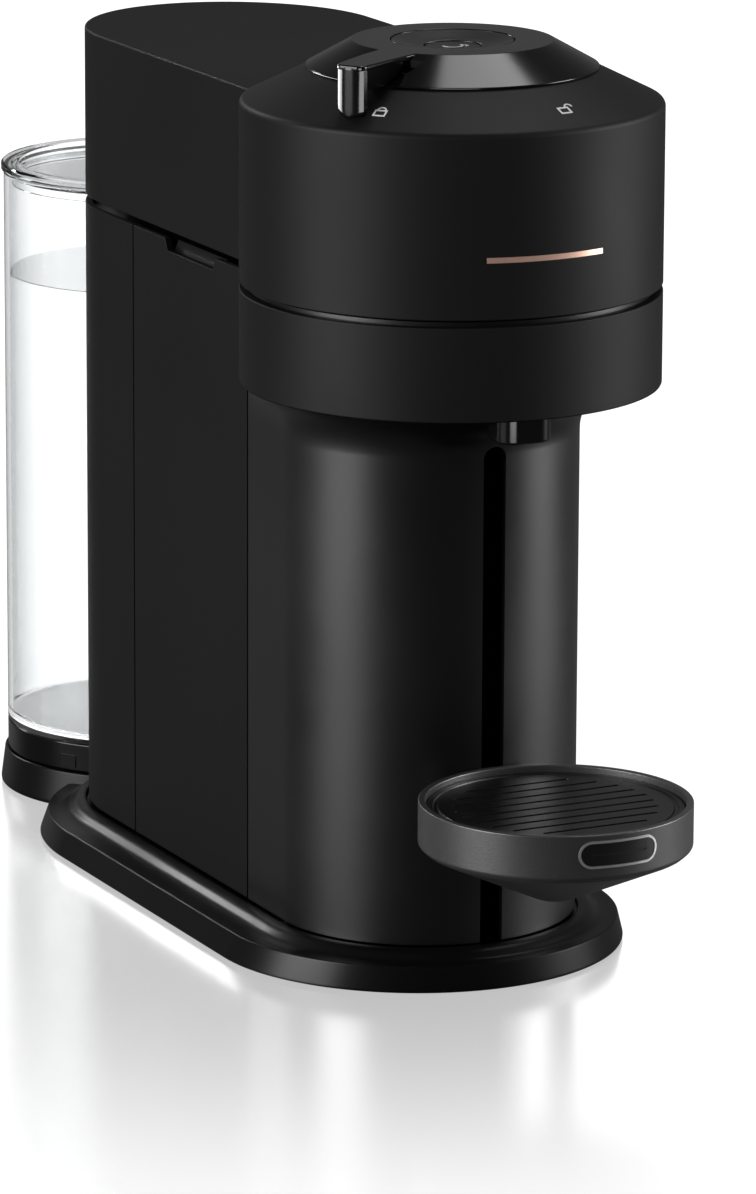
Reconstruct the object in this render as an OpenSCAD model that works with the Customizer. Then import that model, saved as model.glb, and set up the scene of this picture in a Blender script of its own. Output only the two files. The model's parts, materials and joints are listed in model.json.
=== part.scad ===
// Pod coffee machine: round brewing head on a slim column, rear tower with a
// capsule bin, clear water tank behind it and a height-adjustable cup support.
// Millimetres, +Z up, front towards -Y, origin at the middle of the footprint.

/* [Head] */
// Radius of the round head and of the fixed band under it
head_r = 70.4; // [70:0.1:71]
// Distance of the head's axis in front of the origin
head_front = 90.3; // [90:0.1:90.6]
// Height of the band's lower edge
band_bottom = 199.6; // [199:0.1:200]
// Height of the band's upper edge
band_top = 231.0; // [230.8:0.1:231.2]
// Height of the moving head's lower edge
cap_bottom = 233.3; // [233.2:0.1:233.6]
// Height of the edge between the head's wall and its cone
shoulder_z = 293.9; // [293.6:0.1:294]
// Angle that the head opens to
head_open = 45; // [30:1:45]

/* [Lever] */
// Outer radius of the glossy lever ring
ring_r = 48.5; // [48.2:0.1:48.8]
// Radius of the flat top of the lever ring
ring_top_r = 33.4; // [33:0.1:34]
// Height of the flat top, the highest point of the machine
top_z = 314; // [313.8:0.1:314.2]
// Direction of the lever's arm at rest, left of straight ahead
lever_angle = 58; // [50:1:60]
// Distance from the head's axis to the outside of the lever's grip
lever_reach = 65.6; // [65:0.1:66]

/* [Tower and column] */
// Width of the column and the tower
body_w = 104.4; // [104:0.1:105]
// Height of the tower's upper edge
tower_top = 231.6; // [231.4:0.1:231.8]
// Y of the centre of the column's round front
column_y = -71.3; // [-71.6:0.1:-71]
// Y of the seam between column and capsule bin
seam_front = -42.6; // [-42.8:0.1:-42.4]
// Y of the seam between capsule bin and tower
seam_rear = 51.4; // [51:0.1:52]
// Y where the tower's sides start to curve
rear_y = 79; // [78.5:0.1:79.5]
// Depth of the curved rear end
rear_depth = 57; // [56.8:0.1:57.2]
// Width of the slot in the column
slot_w = 8.2; // [8:0.1:8.4]
// Wall thickness of the casings
wall = 2.5; // [2.2:0.1:2.6]

/* [Base] */
// Half width of the base on the floor
base_half_w = 71.8; // [71.5:0.1:72]
// Half width of the base at its upper rim
rim_half_w = 69; // [68.8:0.1:69.2]
// Height of the upper rim
rim_z = 9.8; // [9.6:0.1:10]
// Height of the shoulder that the casings stand on
base_top = 13.1; // [13:0.1:13.2]

/* [Cup support] */
// Radius of the cup support
tray_r = 45.2; // [45:0.1:45.3]
// Y of the cup support's axis
tray_y = -169.2; // [-169.4:0.1:-169.2]
// Height of the cup support's rim
tray_top = 74.1; // [73.8:0.1:74.4]
// Height of the edge below the cup support's side
tray_side_z = 59.1; // [59:0.1:59.3]
// Height of the flat point of the underside
tray_low_z = 41; // [40.8:0.1:41.4]

/* [Water tank] */
// Outer radius of the tank
tank_r = 49.3; // [49:0.1:49.4]
// Y of the tank's axis
tank_y = 162.2; // [162:0.1:162.4]
// Height of the top of the lid
lid_top = 232.7; // [232.5:0.1:232.8]
// Radius of the seat that the tank stands on
seat_r = 51.9; // [51.6:0.1:52]
// Height of the seat
seat_z = 13.6; // [13.5:0.1:13.8]

/* [Drive] */
// Radius of the capsule holder's pulley
holder_pulley_r = 14; // [14]
// Radius of the motor's pulley
motor_pulley_r = 7; // [7]
// Y of the motor's axis
motor_y = -62; // [-62.4:0.1:-61.6]

/* [Hidden] */
$fn = 96;

body_r = body_w / 2;
gap = 0.4;                                  // clearance between parts that slide past each other
head_y = -head_front;
deck_z = 225.4;                             // underside of the deck that closes the body
deck_t = 3;
cone_drop = 10.7;                           // height of the cap's cone at the ring's edge
cone_slope = cone_drop / (head_r - ring_r);
cap_hole_r = 44.5;
hub_r = 39;                                 // tube of the lever ring inside the head
hub_bottom = 297.5;
bezel_r = 20.3;
button_r = 9.3;
button_top = 311.6;
button_bottom = 304;
pin_y = 112;                                // axis of the head's hinge
pin_z = 245;
pin_r = 3;
barrel_half_w = 34;
barrel_cut_z = 253;                         // upper edge of the cover's opening for the barrel
lug_in = 15;                                // inner and outer side of the hinge lugs
lug_out = 21;
shaft_r = 9;                                // shaft of the capsule holder
bearing_r = 15;
motor_r = 18;
pulley_z = 158;
pulley_h = 8;
belt_t = 1.2;
bin_in_x = 34;                              // inner end of the bin
bin_bottom = 15;
bin_rim = 222;
tank_wall = 1.8;
tank_floor = 27;
lid_bottom = 229.6;
grid_top = 71.9;
grid_t = 2.6;
cove_start = 180;                           // height where the column starts to widen
cove_rows = 8;
rail_front = column_y - sqrt(pow(body_r - wall, 2) - 81) + 0.05;
slot_top = 179;                             // centre of the slot's round upper end
spout_y = head_y - 51.5;
spout_d = 14;                               // front to back
cord_y = 80;
cord_z = 25;
outlet_z = 19.3;                            // height of the tank's outlet
boss_top = 40;                              // the screw bosses inside the column end here
deck_post_x = 41;                           // posts that hang the brewing chassis from the deck
deck_post_y = -58;

// ---------------------------------------------------------------- outlines

// Stadium: half circle in front, straight sides and half an ellipse behind
function stadium(w, front_y, back_y, depth, steps = 40) = concat(
    [for (i = [0:steps]) let (a = 180 + 180 * i / steps) [w * cos(a), front_y + w * sin(a)]],
    [for (i = [0:steps]) let (a = 180 * i / steps) [w * cos(a), back_y + depth * sin(a)]]);

// Tower outline: straight front edge at y0, straight sides and half an ellipse behind
function tower_outline(w, y0, depth, steps = 40) = concat(
    [[-w, y0], [w, y0]],
    [for (i = [0:steps]) let (a = 180 * i / steps) [w * cos(a), rear_y + depth * sin(a)]]);

// Distance from the head's axis to the column's outline, w wide, at angle a from straight ahead
function column_reach(w, a) =
    let (d = column_y - head_y,
         arc = -d * cos(a) + sqrt(w * w - d * d * sin(a) * sin(a)),
         on_side = -arc * cos(a) > d)
    on_side ? w / abs(sin(a)) : arc;

// One turn-free tube swept along points, as rings of side points
function unit(v) = v / norm(v);
function along(p, i) =
    unit(p[min(i + 1, len(p) - 1)] - p[max(i - 1, 0)]);
function ring_at(c, d, r, sides) =
    let (u = unit(cross(d, abs(d.z) < 0.9 ? [0, 0, 1] : [1, 0, 0])), v = cross(d, u))
    [for (k = [0:sides - 1]) let (a = 360 * k / sides) c + r * (cos(a) * u + sin(a) * v)];

module tube_along(p, r, sides = 10) {
    n = len(p);
    points = [for (i = [0:n - 1]) each ring_at(p[i], along(p, i), r, sides)];
    faces = concat(
        [[for (k = [sides - 1:-1:0]) k]],
        [for (i = [0:n - 2], k = [0:sides - 1])
            let (a = i * sides + k, b = i * sides + (k + 1) % sides)
            [a, b, b + sides, a + sides]],
        [[for (k = [0:sides - 1]) (n - 1) * sides + k]]);
    polyhedron(points = points, faces = [for (f = faces) [for (i = [len(f) - 1:-1:0]) f[i]]], convexity = 6);
}

// Smooth route through a few hand-placed points
function route(p, steps = 5) = concat(
    [for (i = [0:len(p) - 2], s = [0:steps - 1])
        let (t = s / steps,
             a = p[max(i - 1, 0)], b = p[i], c = p[i + 1], d = p[min(i + 2, len(p) - 1)])
        0.5 * (2 * b + (c - a) * t + (2 * a - 5 * b + 4 * c - d) * t * t
            + (3 * b - a - 3 * c + d) * t * t * t)],
    [p[len(p) - 1]]);

// Shape turned to a direction around the head's axis, x outwards
module around_head(angle) {
    translate([0, head_y, 0]) rotate([0, 0, angle - 90]) children();
}

module tube(r_out, r_in, h) {
    difference() {
        cylinder(r = r_out, h = h);
        translate([0, 0, -1]) cylinder(r = r_in, h = h + 2);
    }
}

// Countersunk-free screw standing on its head, shank upwards
module screw_up(head_radius, head_h, shank_r, length) {
    cylinder(r = head_radius, h = head_h);
    cylinder(r = shank_r, h = length);
}

// ---------------------------------------------------------------- base

foot_places = [[-50, -95], [50, -95], [-54, 95], [54, 95]];
screw_places = [[-45.4, -60], [45.4, -60], [-45.4, 62], [45.4, 62]];

module base_layer(half_w, front_y, back_y, depth, z, h) {
    translate([0, 0, z]) linear_extrude(h) polygon(stadium(half_w, front_y, back_y, depth, 36));
}

module base_plate() {
    color([0.05, 0.05, 0.052]) difference() {
        union() {
            hull() {
                base_layer(base_half_w, -65, 73, 79, 0.8, 0.5);
                base_layer(rim_half_w, -66.9, 72.9, 75.9, rim_z - 0.5, 0.5);
            }
            hull() {
                base_layer(59.8, -70.6, 76.5, 65, rim_z - 1, 1.1);
                base_layer(56.6, -70.8, 77.5, 61.5, base_top - 0.8, 0.8);
            }
        }
        translate([0, tank_y, -1]) cylinder(r = seat_r + 0.3, h = 30);
        translate([0, 0, -1]) linear_extrude(rim_z - 4)
            polygon(stadium(62, -66, 73, 68, 24));
        for (p = screw_places) translate([p.x, p.y, -1]) cylinder(r = 1.7, h = 30);
        for (p = foot_places) translate([p.x, p.y, -1]) cylinder(r = 7.2, h = rim_z - 4);
    }
}

module rubber_feet() {
    color([0.03, 0.03, 0.03]) {
        for (p = foot_places) translate([p.x, p.y, 0]) cylinder(r = 6.9, h = rim_z - 5);
        for (a = [60, 180, 300]) translate([40 * cos(a), tank_y + 40 * sin(a), 0]) cylinder(r = 4.9, h = 2);
    }
}

module base_screws() {
    color("silver") for (p = screw_places) translate([p.x, p.y, rim_z - 7.2]) screw_up(3.2, 2.2, 1.6, 18);
}

// ---------------------------------------------------------------- casings of the body

module tower_shell() {
    z0 = base_top + 0.3;
    h = tower_top - z0;
    bite = tank_r + 1.3;
    color([0.055, 0.056, 0.06]) difference() {
        union() {
            translate([0, 0, z0]) linear_extrude(h) difference() {
                polygon(tower_outline(body_r, seam_front + 0.3, rear_depth));
                translate([0, tank_y]) circle(r = bite, $fn = 144);
                difference() {
                    polygon(tower_outline(body_r - wall, seam_front - 5, rear_depth - wall));
                    translate([0, tank_y]) circle(r = bite + wall, $fn = 144);
                }
                translate([-body_r - 5, seam_front - 5]) square([10, seam_rear - seam_front + 5]);
            }
            for (p = [for (q = screw_places) if (q.y > 0) q])
                translate([p.x, p.y, z0]) cylinder(r = 4.6, h = 16);
        }
        for (p = [for (q = screw_places) if (q.y > 0) q])
            translate([p.x, p.y, z0 - 1]) cylinder(r = 1.6, h = 12);
        translate([30, cord_y, cord_z]) rotate([0, 90, 0]) cylinder(r = 5.6, h = 40);
        translate([0, tank_y, z0 - 1]) cylinder(r = seat_r + 0.3, h = 1.5, $fn = 144);
        translate([0, 100, outlet_z]) rotate([-90, 0, 0]) cylinder(r = 5.1, h = 20);
    }
}

module column_shell() {
    z0 = base_top + 0.3;
    end_a = 180 - asin(body_r / (head_r - 0.2));
    steps = 64;
    out_r = head_r - 0.2;
    // rows of the outer surface: [height, share of the way from the column to the band's edge]
    rows = concat([[z0, 0]],
        [for (i = [0:cove_rows]) let (t = 90 * i / cove_rows)
            [cove_start + (band_bottom - cove_start) * sin(t), 1 - cos(t)]]);
    row_n = steps + 3;
    points = [for (row = rows) each concat(
        [[-body_r, seam_front, row[0]]],
        [for (i = [0:steps])
            let (a = -end_a + 2 * end_a * i / steps,
                 r = column_reach(body_r, a) * (1 - row[1]) + out_r * row[1])
            [r * sin(a), head_y - r * cos(a), row[0]]],
        [[body_r, seam_front, row[0]]])];
    last = (len(rows) - 1) * row_n;
    faces = concat(
        [[for (i = [0:row_n - 1]) i]],
        [for (j = [0:len(rows) - 2], i = [0:row_n - 1])
            let (a = j * row_n + i, b = j * row_n + (i + 1) % row_n)
            each [[a, a + row_n, b + row_n], [a, b + row_n, b]]],
        [[for (i = [row_n - 1:-1:0]) last + i]]);
    color([0.045, 0.046, 0.05]) difference() {
        polyhedron(points = points, faces = faces, convexity = 8);
        translate([0, 0, z0 - 1]) linear_extrude(boss_top - z0 + 1) difference() {
            column_inside();
            for (p = screw_places) if (p.y < 0) translate([p.x, p.y]) difference() {
                circle(r = 4.6);
                circle(r = 1.62);
            }
        }
        translate([0, 0, boss_top - 0.01]) linear_extrude(band_bottom) column_inside();
        translate([-slot_w / 2, column_y - body_r - 2, z0 - 1]) cube([slot_w, 6, slot_top - z0 + 1]);
        translate([0, column_y - body_r + 4, slot_top]) rotate([90, 0, 0]) cylinder(r = slot_w / 2, h = 6);
        translate([0, spout_y, band_bottom - 12]) cube([19.8, 14.8, 30], center = true);
    }
}

// Inside of the column, seen from above
module column_inside() {
    inside_r = body_r - wall;
    polygon(concat(
        [[-inside_r, seam_front + 1]],
        [for (i = [0:48]) let (a = 180 + 180 * i / 48) [inside_r * cos(a), column_y + inside_r * sin(a)]],
        [[inside_r, seam_front + 1]]));
}

// Channel behind the slot: the cup support's hook runs between its cheeks
module support_rail() {
    z0 = base_top + 0.3;
    back = rail_front;
    color([0.02, 0.02, 0.022]) difference() {
        translate([-9, back, z0]) cube([18, 9, 172]);
        translate([-slot_w / 2, back - 1, z0 - 1]) cube([slot_w, 4.5, 180]);
        translate([-6.2, back + 3, z0 + 3]) cube([12.4, 4, 180]);
    }
}

module head_band() {
    color([0.06, 0.061, 0.065]) difference() {
        translate([0, head_y, band_bottom]) cylinder(r = head_r, h = band_top - band_bottom, $fn = 180);
        translate([0, head_y, band_bottom + 2.4]) cylinder(r = head_r - 2.6, h = 40, $fn = 180);
        translate([0, 0, band_bottom - 1]) linear_extrude(10) column_inside();
        translate([-80, seam_front, band_bottom - 1]) cube([160, 60, 40]);
        translate([0, spout_y, band_bottom]) cube([19.4, 14.4, 10], center = true);
    }
}

module top_deck() {
    color([0.04, 0.04, 0.042]) difference() {
        union() {
            translate([0, 0, deck_z]) linear_extrude(deck_t) {
                difference() {
                    union() {
                        intersection() {
                            translate([0, head_y]) circle(r = head_r - 2.9, $fn = 180);
                            translate([-80, -200]) square([160, 200.5 + seam_front]);
                        }
                        polygon(tower_outline(body_r - wall - 0.3, seam_front + 0.3, rear_depth - wall - 0.3));
                    }
                    translate([0, tank_y]) circle(r = tank_r + 1.5 + wall, $fn = 144);
                }
            }
            intersection() {
                translate([0, head_y, deck_z + 1]) tube(head_r - 3, head_r - 5, 232.4 - deck_z - 1);
                translate([-80, -200, 200]) cube([160, 200 + seam_front, 60]);
            }
        }
        translate([0, head_y, deck_z - 1]) cylinder(r = 39.5, h = 10);
        translate([-37, -36, deck_z - 1]) cube([70, 80, 10]);
        translate([-body_r - 1, seam_front - 0.2, deck_z - 1]) cube([7, seam_rear - seam_front + 1, 20]);
        for (s = [-1, 1]) translate([s * deck_post_x, deck_post_y, deck_z - 1]) cylinder(r = 1.7, h = 10);
    }
}

// ---------------------------------------------------------------- hinge of the head

// Radius that the rear cover leaves free around the hinge pin, at a distance x from the middle
function barrel_reach(x) =
    let (dy = rear_y + (rear_depth - wall) * sqrt(1 - pow(x / (body_r - wall), 2)) - pin_y)
    norm([dy, barrel_cut_z - pin_z]) - 1.2;

module hinge_barrel() {
    side = [for (x = [-barrel_half_w:2:barrel_half_w]) [barrel_reach(x), x]];
    deck_top = deck_z + deck_t;
    color([0.04, 0.04, 0.042]) difference() {
        union() {
            translate([0, pin_y, pin_z]) rotate([0, 90, 0]) rotate_extrude()
                polygon(concat([[0, -barrel_half_w]], side, [[0, barrel_half_w]]));
            translate([-30, 92, deck_top]) cube([60, 15, 12]);
        }
        translate([-50, pin_y - 4.5, 200]) cube([100, 40, 34.2]);
        translate([-50, 60, 200]) cube([100, 60, deck_top - 200]);
        translate([-60, pin_y, pin_z]) rotate([0, 90, 0]) cylinder(r = pin_r + 0.02, h = 120);
        for (s = [-1, 1]) translate([s * (lug_in + lug_out) / 2 - 3.6, pin_y, 0]) {
            translate([0, -40, 234]) cube([7.2, 40, 60]);
            translate([0, 0, pin_z]) rotate([0, 90, 0]) cylinder(r = 9, h = 7.2);
            translate([0, -1, pin_z]) cube([7.2, 10, 40]);
        }
        translate([-11, pin_y - 15, 236]) cube([22, 28, 50]);
    }
}

module hinge_pin() {
    color("silver") translate([-barrel_half_w + 2, pin_y, pin_z]) rotate([0, 90, 0])
        cylinder(r = pin_r, h = 2 * barrel_half_w - 4);
}

// ---------------------------------------------------------------- brewing unit in the body

module spout_bores(z, h) {
    for (s = [-1, 1]) translate([s * 4, spout_y, z]) cylinder(r = 2.4, h = h);
}

module coffee_spout() {
    bottom = 189;
    edge_r = 2;
    color([0.02, 0.02, 0.022]) translate([0, spout_y - spout_d / 2, 0]) difference() {
        union() {
            translate([-9.5, 0, bottom + edge_r]) cube([19, spout_d, 12.5]);
            translate([-9.5 + edge_r, 0, bottom]) cube([19 - 2 * edge_r, spout_d, edge_r + 1]);
            for (s = [-1, 1]) translate([s * (9.5 - edge_r), 0, bottom + edge_r]) rotate([-90, 0, 0])
                cylinder(r = edge_r, h = spout_d);
        }
        translate([0, spout_d / 2 - spout_y, 0]) spout_bores(180, 30);
    }
}

module coffee_collector() {
    color([0.03, 0.03, 0.032]) difference() {
        union() {
            translate([0, head_y, 204]) cylinder(r = 46, h = 18);
            translate([-8, head_y - 60, 203.7]) cube([16, 20, 8.3]);
        }
        translate([0, head_y, 206.5]) cylinder(r = 43.5, h = 20);
        translate([0, head_y, 190]) cylinder(r = 34.5, h = 30);
        spout_bores(200, 9);
        translate([-6.5, head_y - 56, 207]) cube([13, 22, 3.2]);
    }
}

module brew_chassis() {
    color([0.25, 0.25, 0.26]) difference() {
        union() {
            intersection() {
                translate([0, column_y, 170]) cylinder(r = body_r - wall - 2, h = 4);
                translate([-60, rail_front + 9.3, 160]) cube([120, -46 - rail_front - 9.3, 20]);
            }
            translate([0, head_y, 170]) cylinder(r = 19, h = 14);
            for (s = [-1, 1]) translate([s * deck_post_x, deck_post_y, 170]) cylinder(r = 4.6, h = deck_z - 170);
        }
        translate([0, head_y, 172]) cylinder(r = bearing_r, h = 20);
        translate([0, head_y, 160]) cylinder(r = 12, h = 20);
        for (s = [-1, 1]) translate([s * deck_post_x, deck_post_y, 210]) cylinder(r = 1.5, h = 20);
    }
}

module chassis_screws() {
    color("silver") for (s = [-1, 1]) translate([s * deck_post_x, deck_post_y, deck_z + deck_t]) {
        cylinder(r = 3, h = 2);
        translate([0, 0, -14]) cylinder(r = 1.5, h = 14);
    }
}

module holder_bearing() {
    color("silver") translate([0, head_y, 172]) difference() {
        tube(bearing_r, shaft_r + 0.05, 11);
        translate([0, 0, -1]) tube(13.4, 10.6, 2.5);
        translate([0, 0, 9.5]) tube(13.4, 10.6, 2.5);
    }
}

module spin_motor() {
    color([0.4, 0.4, 0.42]) translate([0, motor_y, 0]) difference() {
        union() {
            translate([0, 0, 96]) cylinder(r = motor_r, h = 50);
            translate([0, 0, 92]) cylinder(r = 8, h = 4);
            translate([0, 0, 146]) cylinder(r = 6.5, h = 4);
        }
        translate([0, 0, 100]) cylinder(r = 2.55, h = 60);
    }
}

module motor_bracket() {
    color([0.6, 0.6, 0.62]) difference() {
        union() {
            translate([-30, motor_y - 9, 146.2]) cube([60, 18, 3]);
            for (s = [-1, 1]) translate([s * 24, motor_y, 149]) cylinder(r = 4, h = 20.9);
        }
        translate([0, motor_y, 140]) cylinder(r = 6.7, h = 20);
    }
}

module drive_belt() {
    color([0.03, 0.03, 0.03]) translate([0, 0, pulley_z + 1.5]) linear_extrude(pulley_h - 3) difference() {
        hull() {
            translate([0, head_y]) circle(r = holder_pulley_r + gap + belt_t, $fn = 64);
            translate([0, motor_y]) circle(r = motor_pulley_r + gap + belt_t, $fn = 64);
        }
        hull() {
            translate([0, head_y]) circle(r = holder_pulley_r + gap, $fn = 64);
            translate([0, motor_y]) circle(r = motor_pulley_r + gap, $fn = 64);
        }
    }
}

module capsule_holder() {
    inner = [[0, 195.6], [10, 195.6], [20.5, 199], [26.5, 207], [29.6, 218], [30.6, 224.2], [32.2, 224.2],
        [32.2, 226.6]];
    outer = [[34, 226.6], [34, 222], [31.8, 221.6], [31.2, 216], [28.3, 205.6], [21.6, 196.8], [shaft_r, 193.4],
        [shaft_r, pulley_z + pulley_h], [0, pulley_z + pulley_h]];
    color([0.12, 0.12, 0.125]) translate([0, head_y, 0]) rotate_extrude() polygon(concat(inner, outer));
}

module holder_pulley() {
    color([0.5, 0.5, 0.52]) translate([0, head_y, pulley_z]) {
        cylinder(r = holder_pulley_r, h = pulley_h);
        translate([0, 0, -0.8]) cylinder(r = holder_pulley_r + 1.8, h = 0.8);
    }
}

module motor_pulley() {
    color([0.5, 0.5, 0.52]) translate([0, motor_y, 0]) {
        translate([0, 0, 102]) cylinder(r = 2.5, h = pulley_z - 102);
        translate([0, 0, pulley_z]) cylinder(r = motor_pulley_r, h = pulley_h);
        translate([0, 0, pulley_z - 0.8]) cylinder(r = motor_pulley_r + 1.5, h = 0.8);
    }
}

// ---------------------------------------------------------------- water circuit in the tower

pump_x = -24;
pump_y = 84;

module water_pump() {
    color([0.75, 0.75, 0.7]) translate([pump_x, pump_y, 0]) {
        translate([0, 0, 60]) cylinder(r = 17, h = 46);
        translate([0, 0, 50]) cylinder(r = 8, h = 10);
        translate([0, 0, 106]) cylinder(r = 8, h = 22);
        translate([0, 0, 128]) cylinder(r = 3.2, h = 8);
    }
}

module pump_mounts() {
    color([0.03, 0.03, 0.03]) translate([pump_x, pump_y, 0]) for (z = [52, 112]) translate([0, 0, z])
        difference() {
            translate([-14, -12, 0]) cube([28, 24, 5]);
            translate([0, 0, -1]) cylinder(r = 8, h = 7);
        }
}

module thermoblock() {
    color([0.72, 0.73, 0.75]) difference() {
        union() {
            translate([-4, 60, 150]) cube([44, 36, 60]);
            for (s = [0, 1]) translate([2 + 30 * s, 78, 144]) cylinder(r = 4, h = 6);
        }
        for (i = [0:4]) translate([-5, 59, 158 + 10 * i]) cube([46, 4, 4]);
    }
}

module flow_meter() {
    color([0.2, 0.2, 0.22]) translate([22, 84, 60]) {
        cylinder(r = 12, h = 16);
        translate([0, 0, 16]) cylinder(r = 3.2, h = 8);
        translate([0, 0, -8]) cylinder(r = 3.2, h = 8);
    }
}

module control_board() {
    color([0.05, 0.25, 0.12]) {
        translate([41, -30, 60]) cube([1.6, 70, 120]);
        for (i = [0:2]) translate([36.5, -18 + 20 * i, 80]) cube([4.5, 12, 10]);
        translate([37, 0, 120]) cube([4, 24, 30]);
    }
}

module suction_hose() {
    color([0.85, 0.85, 0.82]) tube_along(route([
        [0, 104.5, outlet_z], [0, 101, outlet_z], [0, 96, 20], [12, 86, 28], [22, 84, 40], [22, 84, 46],
        [22, 84, 52]]), 3.2);
}

module pressure_hose() {
    color([0.85, 0.85, 0.82]) {
        tube_along(route([[22, 84, 84], [22, 84, 90], [22, 84, 96], [18, 78, 106], [6, 66, 100], [-10, 60, 70],
            [-22, 74, 40], [-24, 84, 37], [-24, 84, 43.5], [-24, 84, 50]]), 3);
        tube_along(route([[-24, 84, 136], [-24, 84, 140], [-24, 83, 144], [-12, 80, 147], [-7, 78, 136],
            [0, 78, 133], [2, 78, 138.5], [2, 78, 144]]), 3);
    }
}

module hot_water_pipe() {
    color([0.8, 0.8, 0.8]) tube_along(route([
        [32, 78, 144], [32, 78, 140], [32, 78, 136], [38, 66, 132], [43.5, 58, 150], [44.5, 57, 200], [40, 72, 215],
        [20, 84, 217], [0, 92, 218]]), 2.5);
}

module tank_seat() {
    color([0.03, 0.03, 0.032]) {
        difference() {
            union() {
                translate([0, tank_y, 0.6]) cylinder(r = seat_r, h = seat_z - 0.6, $fn = 144);
                translate([-12, 98, 1.2]) cube([24, 16, 3.5]);
            }
            translate([0, tank_y, -1]) cylinder(r = seat_r - 3, h = seat_z - 0.5, $fn = 144);
        }
        for (a = [60, 180, 300]) translate([40 * cos(a), tank_y + 40 * sin(a), 2])
            cylinder(r = 4.9, h = seat_z - 3);
    }
}

module valve_socket() {
    color([0.1, 0.1, 0.11]) translate([0, 0, outlet_z]) rotate([-90, 0, 0]) difference() {
        union() {
            translate([0, 0, 104.6]) cylinder(r = 5.6, h = 4);
            translate([0, 0, 108.6]) cylinder(r = 5, h = 3.6);
        }
        translate([0, 0, 100]) cylinder(r = 3.2, h = 30);
    }
}

module socket_seal() {
    color([0.5, 0.1, 0.05]) translate([0, 112.2, outlet_z]) rotate([-90, 0, 0]) tube(4.5, 3.3, 0.4);
}

module cord_inlet() {
    color([0.03, 0.03, 0.03]) translate([0, cord_y, cord_z]) rotate([0, 90, 0]) difference() {
        union() {
            translate([0, 0, 45]) cylinder(r = 5.5, h = 10);
            translate([0, 0, 45]) cylinder(r = 7.5, h = 3.6);
        }
        translate([0, 0, 40]) cylinder(r = 3.6, h = 30);
    }
}

// ---------------------------------------------------------------- moving head

module head_cap() {
    top = shoulder_z + cone_slope * (head_r - cap_hole_r);
    outline = [[head_r, cap_bottom], [head_r, shoulder_z], [cap_hole_r, top], [cap_hole_r, top - 2.6],
        [head_r - 2.6, shoulder_z - 1.4], [head_r - 2.6, cap_bottom]];
    color([0.06, 0.061, 0.065]) difference() {
        translate([0, head_y, 0]) rotate_extrude($fn = 180) polygon(outline);
        translate([-body_r + wall + 0.3, head_y + 40, cap_bottom - 1])
            cube([body_w - 2 * wall - 0.6, 60, 56]);
    }
}

module rear_cover() {
    z0 = 234.5;
    z1 = 293.7;
    color([0.055, 0.056, 0.06]) difference() {
        translate([0, 0, z0]) linear_extrude(z1 - z0) difference() {
            polygon(tower_outline(body_r, head_y + 40, rear_depth));
            translate([0, head_y]) circle(r = head_r + 0.05, $fn = 180);
        }
        translate([0, 0, z0 - 1]) linear_extrude(z1 - z0 + 1 - wall)
            polygon(tower_outline(body_r - wall, head_y + 30, rear_depth - wall));
        translate([-38, 100, z0 - 1]) cube([76, 60, barrel_cut_z - z0 + 1]);
    }
}

module head_liner() {
    z0 = cap_bottom + 0.4;
    color([0.03, 0.03, 0.032]) difference() {
        translate([0, 0, z0]) linear_extrude(2.4) difference() {
            union() {
                translate([0, head_y]) circle(r = head_r - 2.8, $fn = 180);
                translate([-body_r + wall + 0.3, head_y + 30]) square([body_w - 2 * wall - 0.6, 140]);
            }
            translate([0, head_y]) circle(r = 36);
        }
        translate([-30, -30, z0 - 1]) cube([60, 70, 5]);
        translate([-40, 84, z0 - 1]) cube([80, 60, 5]);
    }
}

module head_frame() {
    color([0.3, 0.3, 0.32]) difference() {
        union() {
            translate([0, head_y, 244]) cylinder(r = 58, h = 4);
            translate([-36, head_y, 244]) cube([72, 160, 4]);
            translate([0, head_y, 238]) cylinder(r = 18, h = 8);
            for (s = [-1, 1]) translate([s * (lug_in + lug_out) / 2 - 3, 0, 0]) {
                translate([0, 50, 244]) cube([6, pin_y - 50, 7]);
                translate([0, pin_y, pin_z]) rotate([0, 90, 0]) cylinder(r = 6.5, h = 6);
            }
            for (p = [[-30, 54], [30, 54], [-30, -140], [30, -140]])
                translate([p.x, p.y, cap_bottom + 2.8]) cylinder(r = 4, h = 10);
        }
        translate([0, head_y, 230]) cylinder(r = 14, h = 40);
        translate([-8, -40, 240]) cube([16, 110, 12]);
        for (p = [[-30, 54], [30, 54], [-30, -140], [30, -140]])
            translate([p.x, p.y, 230]) cylinder(r = 1.5, h = 30);
        translate([-60, pin_y, pin_z]) rotate([0, 90, 0]) cylinder(r = pin_r + 0.07, h = 120);
    }
}

module frame_screws() {
    color("silver") for (p = [[-30, 54], [30, 54], [-30, -140], [30, -140]])
        translate([p.x, p.y, 248]) {
            cylinder(r = 3, h = 2);
            translate([0, 0, -10]) cylinder(r = 1.5, h = 10);
        }
}

module brew_head_bearing() {
    color("silver") translate([0, head_y, 238]) tube(14, 8.05, 10);
}

module piercing_plate() {
    color([0.6, 0.6, 0.62]) translate([0, head_y, 0]) {
        translate([0, 0, 230.4]) cylinder(r = 32, h = 3.4);
        translate([0, 0, 228]) tube(31.6, 27, 3);
        translate([0, 0, 233.8]) cylinder(r = 8, h = 15.5);
        translate([0, 0, 226]) cylinder(r1 = 0.4, r2 = 1.6, h = 4.6);
    }
}

module button_post() {
    color([0.1, 0.1, 0.11]) translate([0, head_y, 0]) difference() {
        union() {
            translate([0, 0, 250]) cylinder(r = 18, h = 58);
            translate([0, 0, 248]) cylinder(r = 26, h = 3);
        }
        translate([0, 0, 298]) cylinder(r = 13, h = 20);
        translate([0, 0, 240]) cylinder(r = 15.4, h = 55);
    }
}

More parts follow.
